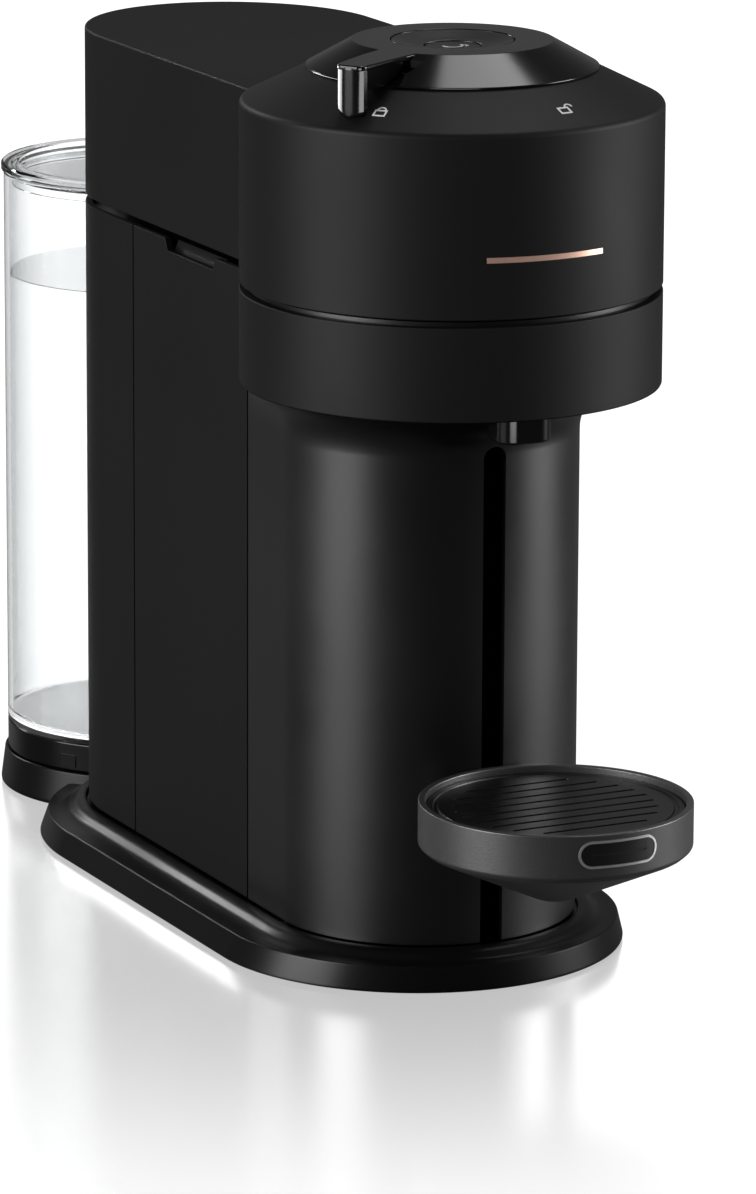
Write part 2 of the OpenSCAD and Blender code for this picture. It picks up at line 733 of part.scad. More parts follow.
module button_bezel() {
    color([0.02, 0.02, 0.022]) translate([0, head_y, 0]) rotate_extrude()
        polygon([[bezel_r, 308], [bezel_r, 313.5], [bezel_r - 0.6, 313.9], [bezel_r - 1.6, 313.8], [13, 312.2],
            [button_r + 0.4, 311.9], [button_r + 0.4, 305.5], [12.9, 305.5], [12.9, 308]]);
}

module lock_marks() {
    color([0.75, 0.5, 0.42]) {
        cap_mark(49.2) padlock(0);
        cap_mark(-9.9) padlock(1);
    }
}

// Places a flat mark on the cap's cone, at an angle left of straight ahead
module cap_mark(angle) {
    mark_r = 60;
    translate([0, head_y, 0]) rotate([0, 0, -angle])
        translate([0, -mark_r, shoulder_z + cone_slope * (head_r - mark_r) + 0.02])
        rotate([atan(cone_slope), 0, 0]) children();
}

// Outline padlock, its shackle swung to one side when open
module padlock(open) {
    linear_extrude(0.15) {
        difference() {
            translate([-2.2, -2.6]) square([4.4, 3.4]);
            translate([-1.6, -2.0]) square([3.2, 2.2]);
        }
        translate([open * 2.6, 0.8]) difference() {
            circle(r = 1.6, $fn = 32);
            circle(r = 1.05, $fn = 32);
            translate([-3, -6]) square([6, 6]);
        }
    }
}

// Plain inlaid bar on the front of the head
module front_badge() {
    color([0.75, 0.5, 0.42]) intersection() {
        translate([0, head_y, 250]) tube(head_r + 0.15, head_r + 0.03, 6);
        translate([-21, head_y - 80, 252.2]) cube([42, 40, 1.8]);
    }
}

module lever_ring() {
    ring = [[ring_r, 304.95], [ring_r, 305.5], [ring_top_r, top_z], [bezel_r + 0.3, top_z],
        [bezel_r + 0.3, top_z - 2.4], [33, top_z - 2.4], [hub_r - 3, 309.5], [hub_r - 3, hub_bottom],
        [hub_r, hub_bottom], [hub_r, 307.2], [44, 307.2]];
    color([0.015, 0.015, 0.017]) difference() {
        union() {
            translate([0, head_y, 0]) rotate_extrude() polygon(ring);
            around_head(-lever_angle) {
                translate([0, 0, top_z - 1.8]) linear_extrude(1.8)
                    polygon([[26, -7.6], [34, -7.5], [lever_reach, -6.2], [lever_reach, 6.2], [34, 7.5], [26, 7.6]]);
                translate([0, 5, 0]) rotate([90, 0, 0]) linear_extrude(10)
                    polygon([[40, top_z - 1], [lever_reach - 1, top_z - 1], [lever_reach - 1, 309.4], [50.5, 306],
                        [46, 307.4], [40, 309]]);
                translate([lever_reach - 3.4, -6.2, 300.9]) cube([3.4, 12.4, 12]);
                translate([lever_reach - 3.4, -4.2, 298.9]) cube([3.4, 8.4, 4]);
                for (s = [-1, 1]) translate([lever_reach - 3.4, s * 4.2, 300.9]) rotate([0, 90, 0])
                    cylinder(r = 2, h = 3.4);
            }
        }
    }
}

module lock_ring() {
    color([0.5, 0.5, 0.52]) translate([0, head_y, hub_bottom - 4]) difference() {
        union() {
            cylinder(r = 41, h = 4);
            for (a = [30, 150, 270]) rotate([0, 0, a]) translate([36, -6, 0]) cube([14, 12, 4]);
        }
        translate([0, 0, -1]) cylinder(r = 31, h = 6);
    }
}

module brew_button() {
    color([0.03, 0.03, 0.032]) translate([0, head_y, 0]) {
        translate([0, 0, button_bottom]) cylinder(r = button_r, h = button_top - button_bottom);
        translate([0, 0, button_bottom - 1.2]) cylinder(r = 12.4, h = 1.3);
    }
}

module button_mark() {
    color([0.8, 0.8, 0.8]) translate([0, head_y, button_top]) linear_extrude(0.15) {
        difference() {
            circle(r = 3.6, $fn = 48);
            circle(r = 2.9, $fn = 48);
            translate([-5, 0.6]) square([10, 10]);
        }
        translate([3.4, -1.6]) difference() {
            circle(r = 1.5, $fn = 32);
            circle(r = 1, $fn = 32);
            translate([-4, -3]) square([4, 6]);
        }
    }
}

module button_spring() {
    turns = 3;
    color("silver") translate([0, head_y, 0]) tube_along(
        [for (i = [0:turns * 14]) let (a = 360 * i / 14)
            [8 * cos(a), 8 * sin(a), 298.4 + 4 * i / (turns * 14)]], 0.35, 6);
}

// ---------------------------------------------------------------- capsule bin

module capsule_bin() {
    x0 = -body_r;
    y0 = seam_front + 0.5;
    y1 = seam_rear - 0.4;
    z0 = base_top + 0.4;
    color([0.055, 0.056, 0.06]) union() {
        difference() {
            translate([x0, y0, z0]) cube([wall, y1 - y0, tower_top - z0]);
            translate([x0 - 1, -17.2, 227.5]) cube([5, 41.6, 10]);
        }
        difference() {
            translate([x0 + wall - 0.1, y0 + 2, bin_bottom]) cube([bin_in_x - x0 - wall, y1 - y0 - 4, bin_rim - bin_bottom]);
            translate([x0 + wall + 0.1, y0 + 4, bin_bottom + 2])
                cube([bin_in_x - x0 - wall - 2.3, y1 - y0 - 8, 300]);
        }
    }
}

// ---------------------------------------------------------------- water tank

module water_tank() {
    color([0.8, 0.85, 0.88, 0.4]) difference() {
        translate([0, tank_y, 24.4]) cylinder(r = tank_r, h = lid_bottom - 0.3 - 24.4, $fn = 144);
        translate([0, tank_y, tank_floor]) cylinder(r = tank_r - tank_wall, h = 300, $fn = 144);
        translate([0, tank_y - 26, 20]) cylinder(r = 4, h = 20);
    }
}

module tank_base() {
    z0 = seat_z + 0.3;
    color([0.05, 0.05, 0.055]) difference() {
        union() {
            translate([0, tank_y, z0]) cylinder(r = tank_r, h = 24.4 - z0, $fn = 144);
            for (s = [-1, 1]) translate([0, tank_y, 15.2]) rotate([0, 0, s * 53 - 90])
                translate([tank_r - 1, -3.4, 0]) cube([1.6, 6.8, 4.6]);
        }
        difference() {
            translate([0, tank_y, z0 - 1]) cylinder(r = tank_r - 3, h = 9.5, $fn = 144);
            translate([-7, 110, 0]) cube([14, 34, 30]);
        }
        translate([0, tank_y - 26, 16]) cylinder(r = 4, h = 20);
        translate([0, 100, outlet_z]) rotate([-90, 0, 0]) cylinder(r = 3, h = 38);
    }
}

// Foot valve of the tank: draws at the floor and leaves through the tank base
module tank_valve() {
    color([0.85, 0.85, 0.85]) translate([0, tank_y - 26, 0]) difference() {
        union() {
            translate([0, 0, 16]) cylinder(r = 3.9, h = 14);
            translate([0, 0, 27]) cylinder(r = 7, h = 2);
        }
        translate([0, 0, 20]) cylinder(r = 2, h = 30);
    }
}

module tank_lid() {
    outline = [[0, 229.2], [43, 229.2], [43.6, lid_bottom], [43.6, lid_top - 0.4], [44.4, lid_top], [49.4, lid_top],
        [50.2, lid_top - 0.7], [50.2, lid_bottom + 0.4], [49.8, lid_bottom], [46.4, lid_bottom], [46.4, 224.8],
        [44.8, 224.8], [44.8, 227.4], [0, 227.4]];
    color([0.82, 0.86, 0.88, 0.4]) translate([0, tank_y, 0]) rotate_extrude($fn = 144) polygon(outline);
}

// ---------------------------------------------------------------- cup support

module cup_support() {
    outline = [[0, tray_low_z], [7, tray_low_z + 0.3], [10, tray_low_z + 1], [43, 57.6], [44.6, tray_side_z],
        [tray_r, 61], [tray_r, tray_top - 0.6], [tray_r - 0.6, tray_top], [tray_r - 1.8, tray_top],
        [tray_r - 2.4, tray_top - 0.6], [tray_r - 2.4, grid_top - grid_t - 0.4], [tray_r - 5, grid_top - grid_t - 0.4],
        [tray_r - 6, 62], [30, 56], [0, 52]];
    hook_w = slot_w - 1;
    front_in = column_y - body_r;
    color([0.18, 0.18, 0.185]) difference() {
        union() {
            translate([0, tray_y, 0]) rotate_extrude($fn = 144) polygon(outline);
            translate([-hook_w / 2, tray_y + 36, 56]) cube([hook_w, front_in - tray_y - 36 + 8.4, 12]);
            translate([-5.6, rail_front + 3.35, 50]) cube([11.2, 3.2, 22]);
        }
        translate([0, tray_y, 64]) cylinder(r = tray_r - 5, h = 20);
    }
}

module support_badge() {
    color([0.5, 0.5, 0.52]) intersection() {
        translate([0, tray_y, 60]) tube(tray_r + 0.3, tray_r + 0.03, 14);
        translate([0, tray_y, 67.6]) rotate([90, 0, 0]) linear_extrude(60) union() {
            translate([-10, -4.5]) square([20, 9]);
            for (s = [-1, 1]) translate([s * 10, 0]) circle(r = 4.5, $fn = 48);
        }
    }
}

module drip_grid() {
    disc_r = tray_r - 2.8;
    slot_r = 34;
    color([0.03, 0.03, 0.032]) translate([0, tray_y, grid_top - grid_t]) difference() {
        cylinder(r = disc_r, h = grid_t, $fn = 144);
        for (i = [-4:4]) {
            half = sqrt(slot_r * slot_r - 49 * i * i * 0.98);
            translate([-half, 7 * i - 0.8, -1]) cube([2 * half, 1.6, grid_t + 2]);
        }
    }
}

// ---------------------------------------------------------------- nodes

base_plate();
rubber_feet();
base_screws();
tower_shell();
column_shell();
support_rail();
head_band();
top_deck();
hinge_barrel();
hinge_pin();
coffee_spout();
coffee_collector();
brew_chassis();
chassis_screws();
holder_bearing();
spin_motor();
motor_bracket();
drive_belt();
water_pump();
pump_mounts();
thermoblock();
flow_meter();
control_board();
suction_hose();
pressure_hose();
hot_water_pipe();
tank_seat();
valve_socket();
socket_seal();
cord_inlet();
head_cap();
rear_cover();
head_liner();
head_frame();
frame_screws();
brew_head_bearing();
button_post();
button_bezel();
lock_marks();
front_badge();
lever_ring();
lock_ring();
brew_button();
button_mark();
button_spring();
piercing_plate();
capsule_holder();
holder_pulley();
motor_pulley();
capsule_bin();
water_tank();
tank_base();
tank_valve();
tank_lid();
cup_support();
support_badge();
drip_grid();
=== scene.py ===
"""Looks of a pod coffee machine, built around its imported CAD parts.

Shapes are worked out in millimetres and turned into metres when a mesh is made.
Angles around the head are in degrees from straight ahead, positive to the right.
"""

import json
import math

import bmesh
import bpy
from mathutils import Matrix, Vector


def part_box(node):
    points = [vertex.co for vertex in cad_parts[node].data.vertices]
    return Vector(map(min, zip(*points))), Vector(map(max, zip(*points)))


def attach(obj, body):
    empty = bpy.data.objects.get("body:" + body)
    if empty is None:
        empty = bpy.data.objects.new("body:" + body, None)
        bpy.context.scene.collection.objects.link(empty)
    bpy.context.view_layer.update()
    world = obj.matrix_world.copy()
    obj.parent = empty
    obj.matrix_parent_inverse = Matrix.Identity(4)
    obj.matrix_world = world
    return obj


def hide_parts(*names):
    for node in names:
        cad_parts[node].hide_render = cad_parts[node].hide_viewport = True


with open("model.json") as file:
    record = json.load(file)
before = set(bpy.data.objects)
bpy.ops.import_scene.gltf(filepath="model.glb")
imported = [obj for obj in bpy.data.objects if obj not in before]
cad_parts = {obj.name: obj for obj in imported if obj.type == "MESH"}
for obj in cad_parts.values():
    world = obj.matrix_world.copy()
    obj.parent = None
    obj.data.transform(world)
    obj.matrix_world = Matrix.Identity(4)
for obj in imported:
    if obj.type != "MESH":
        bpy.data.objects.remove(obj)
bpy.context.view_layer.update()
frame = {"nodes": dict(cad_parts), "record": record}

MM = 0.001
WELD = 0.000004                  # points closer than this become one
TURN = 192                       # steps of a full turn on large round pieces


# ---------------------------------------------------------------- sizes from the frame

def span(node):
    """Lowest and highest corner of a CAD node, in millimetres."""
    low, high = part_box(node)
    return low / MM, high / MM


cap_low, cap_high = span("head_cap")
band_low, band_high = span("head_band")
bin_low, bin_high = span("capsule_bin")
tower_low, tower_high = span("tower_shell")
cover_low, cover_high = span("rear_cover")
tank_low, tank_high = span("water_tank")
lid_low, lid_high = span("tank_lid")
tray_low, tray_high = span("cup_support")
seat_low, seat_high = span("tank_seat")
base_high = span("base_plate")[1]
lever_low, lever_high = span("lever_ring")
spout_low, spout_high = span("coffee_spout")
tank_base_low, tank_base_high = span("tank_base")
grid_low, grid_high = span("drip_grid")
bezel_high = span("button_bezel")[1]
button_high = span("brew_button")[1]

head_r = cap_high.x
head_y = cap_low.y + head_r
body_r = -bin_low.x
wall = 2.5
seam_front = bin_low.y - 0.5
seam_rear = bin_high.y + 0.4
rear_depth = 57.0
rear_y = cover_high.y - rear_depth
column_y = head_y + 19.0
foot_z = tower_low.z
tank_r = tank_high.x
tank_y = (tank_low.y + tank_high.y) / 2
seat_r = seat_high.x
tray_r = tray_high.x
tray_y = tray_low.y + tray_r
shoulder_z = 293.9
ring_r = 48.5
ring_flat_r = 33.4
bezel_r = bezel_high.x
button_r = 9.3
top_z = lever_high.z
lever_angle = -58.0
slot_half = 4.1
slot_top = 179.0
seam_trim = 0.4                  # how far the visible edges stand back from the middle of a seam
catch_angle = 57.0               # tank tabs, to either side of straight ahead


# ---------------------------------------------------------------- outlines

def fillet(points, radii, steps=5):
    """Closed outline with its corners rounded; radii is one radius or one per corner."""
    n = len(points)
    if isinstance(radii, (int, float)):
        radii = [radii] * n
    made = []
    for i in range(n):
        here = Vector(points[i])
        back = Vector(points[i - 1]) - here
        ahead = Vector(points[(i + 1) % n]) - here
        radius = radii[i]
        if radius <= 0 or back.length < 1e-6 or ahead.length < 1e-6:
            made.append(tuple(here))
            continue
        half = back.angle(ahead) / 2
        if half > math.radians(89):
            made.append(tuple(here))
            continue
        reach = min(radius / math.tan(half), 0.49 * back.length, 0.49 * ahead.length)
        radius = reach * math.tan(half)
        middle = here + (back.normalized() + ahead.normalized()).normalized() * radius / math.sin(half)
        start = here + back.normalized() * reach - middle
        end = here + ahead.normalized() * reach - middle
        sweep = start.angle(end)
        for k in range(steps + 1):
            share = k / steps
            a = math.sin((1 - share) * sweep) / math.sin(sweep)
            b = math.sin(share * sweep) / math.sin(sweep)
            made.append(tuple(middle + start * a + end * b))
    return made


def arc(cx, cy, rx, ry, start, end, steps):
    """Points on an ellipse's arc; angles from +X towards +Y."""
    made = []
    for k in range(steps + 1):
        a = math.radians(start + (end - start) * k / steps)
        made.append((cx + rx * math.cos(a), cy + ry * math.sin(a)))
    return made


def inset(outline, depth, closed=True):
    """Outline moved inwards by depth; it runs anticlockwise seen from above."""
    n = len(outline)
    made = []
    for i in range(n):
        here = Vector(outline[i])
        before = Vector(outline[i - 1]) if closed or i > 0 else None
        after = Vector(outline[(i + 1) % n]) if closed or i < n - 1 else None
        sides = []
        if before is not None and (here - before).length > 1e-9:
            d = (here - before).normalized()
            sides.append(Vector((-d.y, d.x)))
        if after is not None and (after - here).length > 1e-9:
            d = (after - here).normalized()
            sides.append(Vector((-d.y, d.x)))
        normal = sum(sides, Vector((0, 0))).normalized()
        stretch = 1 / max(0.5, normal.dot(sides[0]))
        made.append(tuple(here + normal * depth * stretch))
    return made


def stadium(half_w, front_y, back_y, depth, steps=64):
    """Half circle in front, straight sides and half an ellipse behind."""
    front = arc(0, front_y, half_w, half_w, 180, 360, steps)
    return front + arc(0, back_y, half_w, depth, 0, 180, steps)


def column_reach(angle):
    """Distance from the head's axis to the column's outline."""
    a = math.radians(angle)
    d = column_y - head_y
    reach = -d * math.cos(a) + math.sqrt(body_r ** 2 - (d * math.sin(a)) ** 2)
    on_side = -reach * math.cos(a) > d
    return body_r / abs(math.sin(a)) if on_side else reach


def around(radius, angle, z, centre_y):
    """Point at an angle around an upright axis on the middle plane."""
    a = math.radians(angle)
    return (radius * math.sin(a), centre_y - radius * math.cos(a), z)


# ---------------------------------------------------------------- meshes

def clean(mesh):
    """Joins doubled points, removes slivers and loose edges, and turns the faces outwards."""
    bm = bmesh.new()
    bm.from_mesh(mesh)
    bmesh.ops.remove_doubles(bm, verts=bm.verts, dist=WELD)
    bmesh.ops.dissolve_degenerate(bm, edges=bm.edges, dist=WELD)
    loose = [e for e in bm.edges if not e.link_faces]
    bmesh.ops.delete(bm, geom=loose, context="EDGES")
    bmesh.ops.recalc_face_normals(bm, faces=bm.faces)
    bm.to_mesh(mesh)
    bm.free()


def mesh_object(name, vertices, faces):
    """New mesh object from points in millimetres."""
    mesh = bpy.data.meshes.new(name)
    mesh.from_pydata([Vector(v) * MM for v in vertices], [], faces)
    clean(mesh)
    made = bpy.data.objects.new(name, mesh)
    bpy.context.scene.collection.objects.link(made)
    return made


def skin(name, rings, loop=False):
    """Closed rings of points joined one to the next, with end faces unless they loop."""
    n = len(rings[0])
    vertices = [p for ring in rings for p in ring]
    faces = []
    for j in range(len(rings) if loop else len(rings) - 1):
        k = (j + 1) % len(rings)
        for i in range(n):
            m = (i + 1) % n
            faces.append((j * n + i, j * n + m, k * n + m, k * n + i))
    if not loop:
        faces.append(tuple(range(n)))
        faces.append(tuple((len(rings) - 1) * n + i for i in range(n)))
    return mesh_object(name, vertices, faces)


def lathe(name, outline, centre_y, start=None, end=None, steps=TURN):
    """Outline of (radius, height) turned around an upright axis on the middle plane."""
    full = start is None
    first, last = (0, 360) if full else (start, end)
    count = steps if full else steps + 1
    rings = []
    for i in range(count):
        a = first + (last - first) * i / steps
        rings.append([around(r, a, z, centre_y) for r, z in outline])
    return skin(name, rings, loop=full)


def prism(name, outline, low, high, round_low=0.0, round_high=0.0, steps=4):
    """Upright prism whose lower and upper edges are rounded."""
    levels = []
    for k in range(steps + 1 if round_low else 1):
        a = math.pi / 2 * k / steps
        levels.append((round_low * (1 - math.sin(a)), low + round_low * (1 - math.cos(a))))
    for k in range(steps + 1 if round_high else 1):
        a = math.pi / 2 * (k / steps if round_high else 1)
        levels.append((round_high * (1 - math.cos(a)), high - round_high * (1 - math.sin(a))))
    rings = []
    for depth, z in levels:
        ring = inset(outline, depth) if depth else outline
        rings.append([(x, y, z) for x, y in ring])
    return skin(name, rings)


def sideways(name, outline, low, high, direction="x"):
    """Prism of a (y, z) outline along X, or of an (x, z) outline along Y."""
    rings = []
    for depth in (low, high):
        if direction == "x":
            rings.append([(depth, a, b) for a, b in outline])
        else:
            rings.append([(a, depth, b) for a, b in outline])
    return skin(name, rings)


def strip(name, path, section):
    """Wall along an open path: section is (depth inwards, height) around the wall."""
    lines = {depth: inset(path, depth, closed=False) for depth, _ in section}
    rings = []
    for i in range(len(path)):
        rings.append([(*lines[depth][i], z) for depth, z in section])
    return skin(name, rings)


def box(name, low, high):
    """Box between two opposite corners."""
    return sideways(name, [(low[1], low[2]), (high[1], low[2]), (high[1], high[2]), (low[1], high[2])],
                    low[0], high[0])


def settle(obj):
    """Applies the modifiers on an object."""
    graph = bpy.context.evaluated_depsgraph_get()
    mesh = bpy.data.meshes.new_from_object(obj.evaluated_get(graph))
    obj.modifiers.clear()
    obj.data = mesh
    return obj


def combine(obj, operation, others):
    """Boolean of an object with others, which are used up."""
    for other in others:
        change = obj.modifiers.new("shape", "BOOLEAN")
        change.operation = operation
        change.solver = "EXACT"
        change.object = other
        settle(obj)
        bpy.data.objects.remove(other)
    return obj


def cut(obj, *others):
    """Takes the others away from the object."""
    return combine(obj, "DIFFERENCE", others)


def add(obj, *others):
    """Joins the others to the object."""
    return combine(obj, "UNION", others)


def bevel(obj, width, segments=2, angle=35):
    """Rounds the edges sharper than the angle, in degrees."""
    edge = obj.modifiers.new("edge", "BEVEL")
    edge.width = width * MM
    edge.segments = segments
    edge.limit_method = "ANGLE"
    edge.angle_limit = math.radians(angle)
    edge.use_clamp_overlap = True
    return settle(obj)


def smooth(obj, angle=28, weighted=True):
    """Smooth shading with sharp edges over the angle; large faces keep their own direction."""
    obj.data.shade_smooth()
    obj.data.set_sharp_from_angle(angle=math.radians(angle))
    if weighted:
        change = obj.modifiers.new("normals", "WEIGHTED_NORMAL")
        change.mode = "FACE_AREA"
        change.weight = 50
        change.keep_sharp = True
        settle(obj)
    return obj


# ---------------------------------------------------------------- materials

def node(tree, kind, place=(0, 0), **values):
    """New shader node with its settings or input values."""
    made = tree.nodes.new(kind)
    made.location = place
    for key, value in values.items():
        if hasattr(made, key):
            setattr(made, key, value)
        else:
            made.inputs[key.replace("_", " ")].default_value = value
    return made


def finish_material(name, colour, roughness, *, spread=0.05, metallic=0.0, specular=0.5, ior=1.5,
                    coat=0.0, coat_roughness=0.05, grain=900.0, bump=0.02, tint=0.12, clear=0.0,
                    stretch=(1, 1, 1), edge=1.0):
    """Moulded or metal surface: fine grain in its bump, drifting roughness and colour; an edge below 1 darkens the
    colour towards grazing angles, which is painted shade.
    """
    material = bpy.data.materials.new(name)
    material.use_nodes = True
    tree = material.node_tree
    tree.nodes.clear()
    out = node(tree, "ShaderNodeOutputMaterial", (700, 0))
    shader = node(tree, "ShaderNodeBsdfPrincipled", (400, 0))
    shader.inputs["Metallic"].default_value = metallic
    shader.inputs["Specular IOR Level"].default_value = specular
    shader.inputs["IOR"].default_value = ior
    shader.inputs["Coat Weight"].default_value = coat
    shader.inputs["Coat Roughness"].default_value = coat_roughness
    shader.inputs["Transmission Weight"].default_value = clear
    place = node(tree, "ShaderNodeTexCoord", (-900, 0))
    stretcher = node(tree, "ShaderNodeMapping", (-700, 0))
    stretcher.inputs["Scale"].default_value = stretch
    fine = node(tree, "ShaderNodeTexNoise", (-450, -200), Scale=grain, Detail=4.0, Roughness=0.6)
    broad = node(tree, "ShaderNodeTexNoise", (-450, 200), Scale=14.0, Detail=3.0)
    rough = node(tree, "ShaderNodeMapRange", (-150, 100))
    rough.inputs["From Min"].default_value = 0.3
    rough.inputs["From Max"].default_value = 0.7
    rough.inputs["To Min"].default_value = max(roughness - spread, 0.0)
    rough.inputs["To Max"].default_value = min(roughness + spread, 1.0)
    shade = node(tree, "ShaderNodeMix", (-150, 350), data_type="RGBA")
    shade.inputs[6].default_value = (*[c * (1 - tint) for c in colour], 1)
    shade.inputs[7].default_value = (*[min(c * (1 + tint), 1) for c in colour], 1)
    relief = node(tree, "ShaderNodeBump", (150, -250), Strength=bump, Distance=0.0002)
    link = tree.links.new
    link(place.outputs["Object"], stretcher.inputs["Vector"])
    link(stretcher.outputs["Vector"], fine.inputs["Vector"])
    link(place.outputs["Object"], broad.inputs["Vector"])
    link(broad.outputs["Fac"], rough.inputs["Value"])
    link(fine.outputs["Fac"], shade.inputs["Factor"])
    # Painted shade: where edge is below 1, the base colour darkens towards grazing angles, down to edge times its own
    # value at the outline.
    if edge < 1.0:
        rim = node(tree, "ShaderNodeLayerWeight", (-450, 550), Blend=0.5)
        painted_edge_shade_ramp = node(tree, "ShaderNodeMapRange", (-250, 550))
        painted_edge_shade_ramp.inputs["From Min"].default_value = 0.35
        painted_edge_shade_ramp.inputs["From Max"].default_value = 0.75
        painted_edge_shade_ramp.inputs["To Min"].default_value = 1.0
        painted_edge_shade_ramp.inputs["To Max"].default_value = edge
        painted_edge_shade = node(tree, "ShaderNodeVectorMath", (100, 450), operation="SCALE")
        link(rim.outputs["Facing"], painted_edge_shade_ramp.inputs["Value"])
        link(shade.outputs[2], painted_edge_shade.inputs[0])
        link(painted_edge_shade_ramp.outputs["Result"], painted_edge_shade.inputs["Scale"])
        link(painted_edge_shade.outputs["Vector"], shader.inputs["Base Color"])
    else:
        link(shade.outputs[2], shader.inputs["Base Color"])
    link(rough.outputs["Result"], shader.inputs["Roughness"])
    link(fine.outputs["Fac"], relief.inputs["Height"])
    link(relief.outputs["Normal"], shader.inputs["Normal"])
    link(shader.outputs["BSDF"], out.inputs["Surface"])
    return material


def grey(value):
    """Neutral colour."""
    return (value, value, value)


materials = {
    "matte_black": finish_material("matte_black", grey(0.0017), 0.55, specular=0.085, bump=0.12,
                                   grain=1400, tint=0.2),
    "satin_black": finish_material("satin_black", grey(0.0010), 0.34, specular=0.3, bump=0.03,
                                   grain=1400, tint=0.2),
    "base_black": finish_material("base_black", grey(0.0012), 0.32, specular=0.09, bump=0.04,
                                  grain=1400, tint=0.2),
    "gloss_black": finish_material("gloss_black", grey(0.0010), 0.15, spread=0.02, specular=0.13, coat=0.0,
                                   coat_roughness=0.02, bump=0.004, grain=300),
    "inner_black": finish_material("inner_black", grey(0.008), 0.45, specular=0.35, bump=0.06),
    "tray_grey": finish_material("tray_grey", grey(0.03), 0.38, metallic=0.55, specular=0.5, bump=0.3,
                                 grain=2200, tint=0.5),
    # The clear plastic's colour is darkened to half at grazing angles: painted shade along the tank's outline.
    "clear_plastic": finish_material("clear_plastic", (0.97, 0.985, 0.99), 0.01, spread=0.01, clear=1.0,
                                     ior=1.18, bump=0.002, grain=60, tint=0.01, edge=0.5),
    "water": finish_material("water", (0.99, 0.995, 1.0), 0.0, spread=0.0, clear=1.0, ior=1.02, bump=0.001,
                             grain=40, tint=0.01),
    "water_film": finish_material("water_film", grey(0.84), 0.12, spread=0.04, clear=1.0, ior=1.02,
                                  bump=0.001, grain=40, tint=0.02),
    "tank_floor": finish_material("tank_floor", grey(0.34), 0.45, specular=0.4, bump=0.01, tint=0.03),
    "rubber": finish_material("rubber", grey(0.012), 0.75, specular=0.3, bump=0.15, grain=700),
    "seal": finish_material("seal", (0.35, 0.07, 0.03), 0.55, bump=0.05),
    "steel": finish_material("steel", grey(0.55), 0.32, metallic=1.0, bump=0.05, grain=350,
                             stretch=(1, 1, 12)),
    "aluminium": finish_material("aluminium", grey(0.66), 0.42, metallic=1.0, bump=0.25, grain=420),
    "frame_grey": finish_material("frame_grey", grey(0.13), 0.55, bump=0.1, grain=600),
    "hose": finish_material("hose", (0.75, 0.75, 0.7), 0.35, bump=0.03, grain=200),
    "pcb": finish_material("pcb", (0.01, 0.16, 0.06), 0.35, bump=0.08, grain=240),
    "pump_case": finish_material("pump_case", (0.62, 0.6, 0.54), 0.5, bump=0.08),
    "rose_metal": finish_material("rose_metal", (0.80, 0.50, 0.40), 0.3, metallic=0.85, bump=0.03),
    "mark_white": finish_material("mark_white", grey(0.3), 0.4, bump=0.02),
    "badge_metal": finish_material("badge_metal", grey(0.42), 0.3, metallic=0.9, bump=0.04),
}


def done(obj, look, body, nodes=(), angle=28):
    """Smooth shading, material, body and CAD nodes of a finished piece."""
    clean(obj.data)
    smooth(obj, angle)
    obj.data.materials.clear()
    obj.data.materials.append(materials[look])
    if look in ("clear_plastic", "water", "water_film"):
        obj.visible_shadow = False
    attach(obj, body)
    if nodes:
        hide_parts(*nodes)
    return obj


# ---------------------------------------------------------------- base

def base_ring(half_w, z):
    """One level of the base: its outline goes from the body's shape to the wide foot."""
    known = [(52.2, -71.3, 79.0, 57.0), (56.6, -70.8, 77.5, 61.5), (59.8, -70.6, 76.5, 65.0),
             (69.0, -66.9, 72.9, 75.9), (71.8, -65.0, 73.0, 79.0)]
    low = known[0]
    high = known[-1]
    for a, b in zip(known, known[1:]):
        if a[0] <= half_w <= b[0]:
            low, high = a, b
    share = min(max((half_w - low[0]) / (high[0] - low[0]), -0.5), 1)
    front, back, depth = (low[i] + (high[i] - low[i]) * share for i in (1, 2, 3))
    return [(x, y, z) for x, y in stadium(half_w, front, back, depth)]


def make_base():
    """Stepped base with a rolled inner rim and a sloping edge."""
    rim_w, rim_z = 69.0, 9.8
    foot_w = base_high.x
    profile = [(70.9, 0.8), (71.5, 0.95), (foot_w, 1.4), (foot_w - 0.1, 1.9), (rim_w + 0.25, rim_z - 0.7),
               (rim_w, rim_z - 0.3), (rim_w - 0.4, rim_z - 0.05), (rim_w - 0.9, rim_z), (66.0, rim_z - 0.02),
               (63.5, rim_z), (61.8, 10.0), (60.6, 10.4), (59.7, 11.0), (59.0, 11.7), (58.2, 12.35),
               (57.2, 12.85), (56.0, 13.1), (54.2, 13.1), (53.5, 12.95), (53.2, 12.5), (53.0, 11.8), (50.0, 11.8)]
    base = skin("base_plate_skin", [base_ring(w, z) for w, z in profile])
    seat_hole = lathe("seat_hole", [(0, -1), (seat_r + 0.3, -1), (seat_r + 0.3, 20), (0, 20)], tank_y)
    pocket = prism("pocket", stadium(62, -66, 73, 68, 24), -1, 4.8)
    cut(base, seat_hole, pocket)
    done(base, "base_black", "chassis", ["base_plate"], angle=24)


make_base()


# ---------------------------------------------------------------- casings

def tower_path():
    """Outer line of the tower, from the left seam round the back to the right seam."""
    bite = tank_r + 1.3
    corner = 90.0
    while corner < 179:
        a = math.radians(corner)
        point = Vector((body_r * math.cos(a), rear_y + rear_depth * math.sin(a)))
        if (point - Vector((0, tank_y))).length > bite:
            break
        corner += 0.05
    left = arc(0, rear_y, body_r, rear_depth, 180, corner, 60)
    end = Vector(left[-1]) - Vector((0, tank_y))
    bite_angle = math.degrees(math.atan2(end.y, end.x))
    bite_start = bite_angle % 360
    middle = arc(0, tank_y, bite, bite, bite_start, 540 - bite_start, 72)[1:-1]
    right = [(-x, y) for x, y in reversed(left)]
    path = [(-body_r, seam_rear + seam_trim), (-body_r, (seam_rear + rear_y) / 2)] + left + middle + right
    path += [(body_r, (seam_front + rear_y) / 2), (body_r, seam_front + 0.3)]
    return path


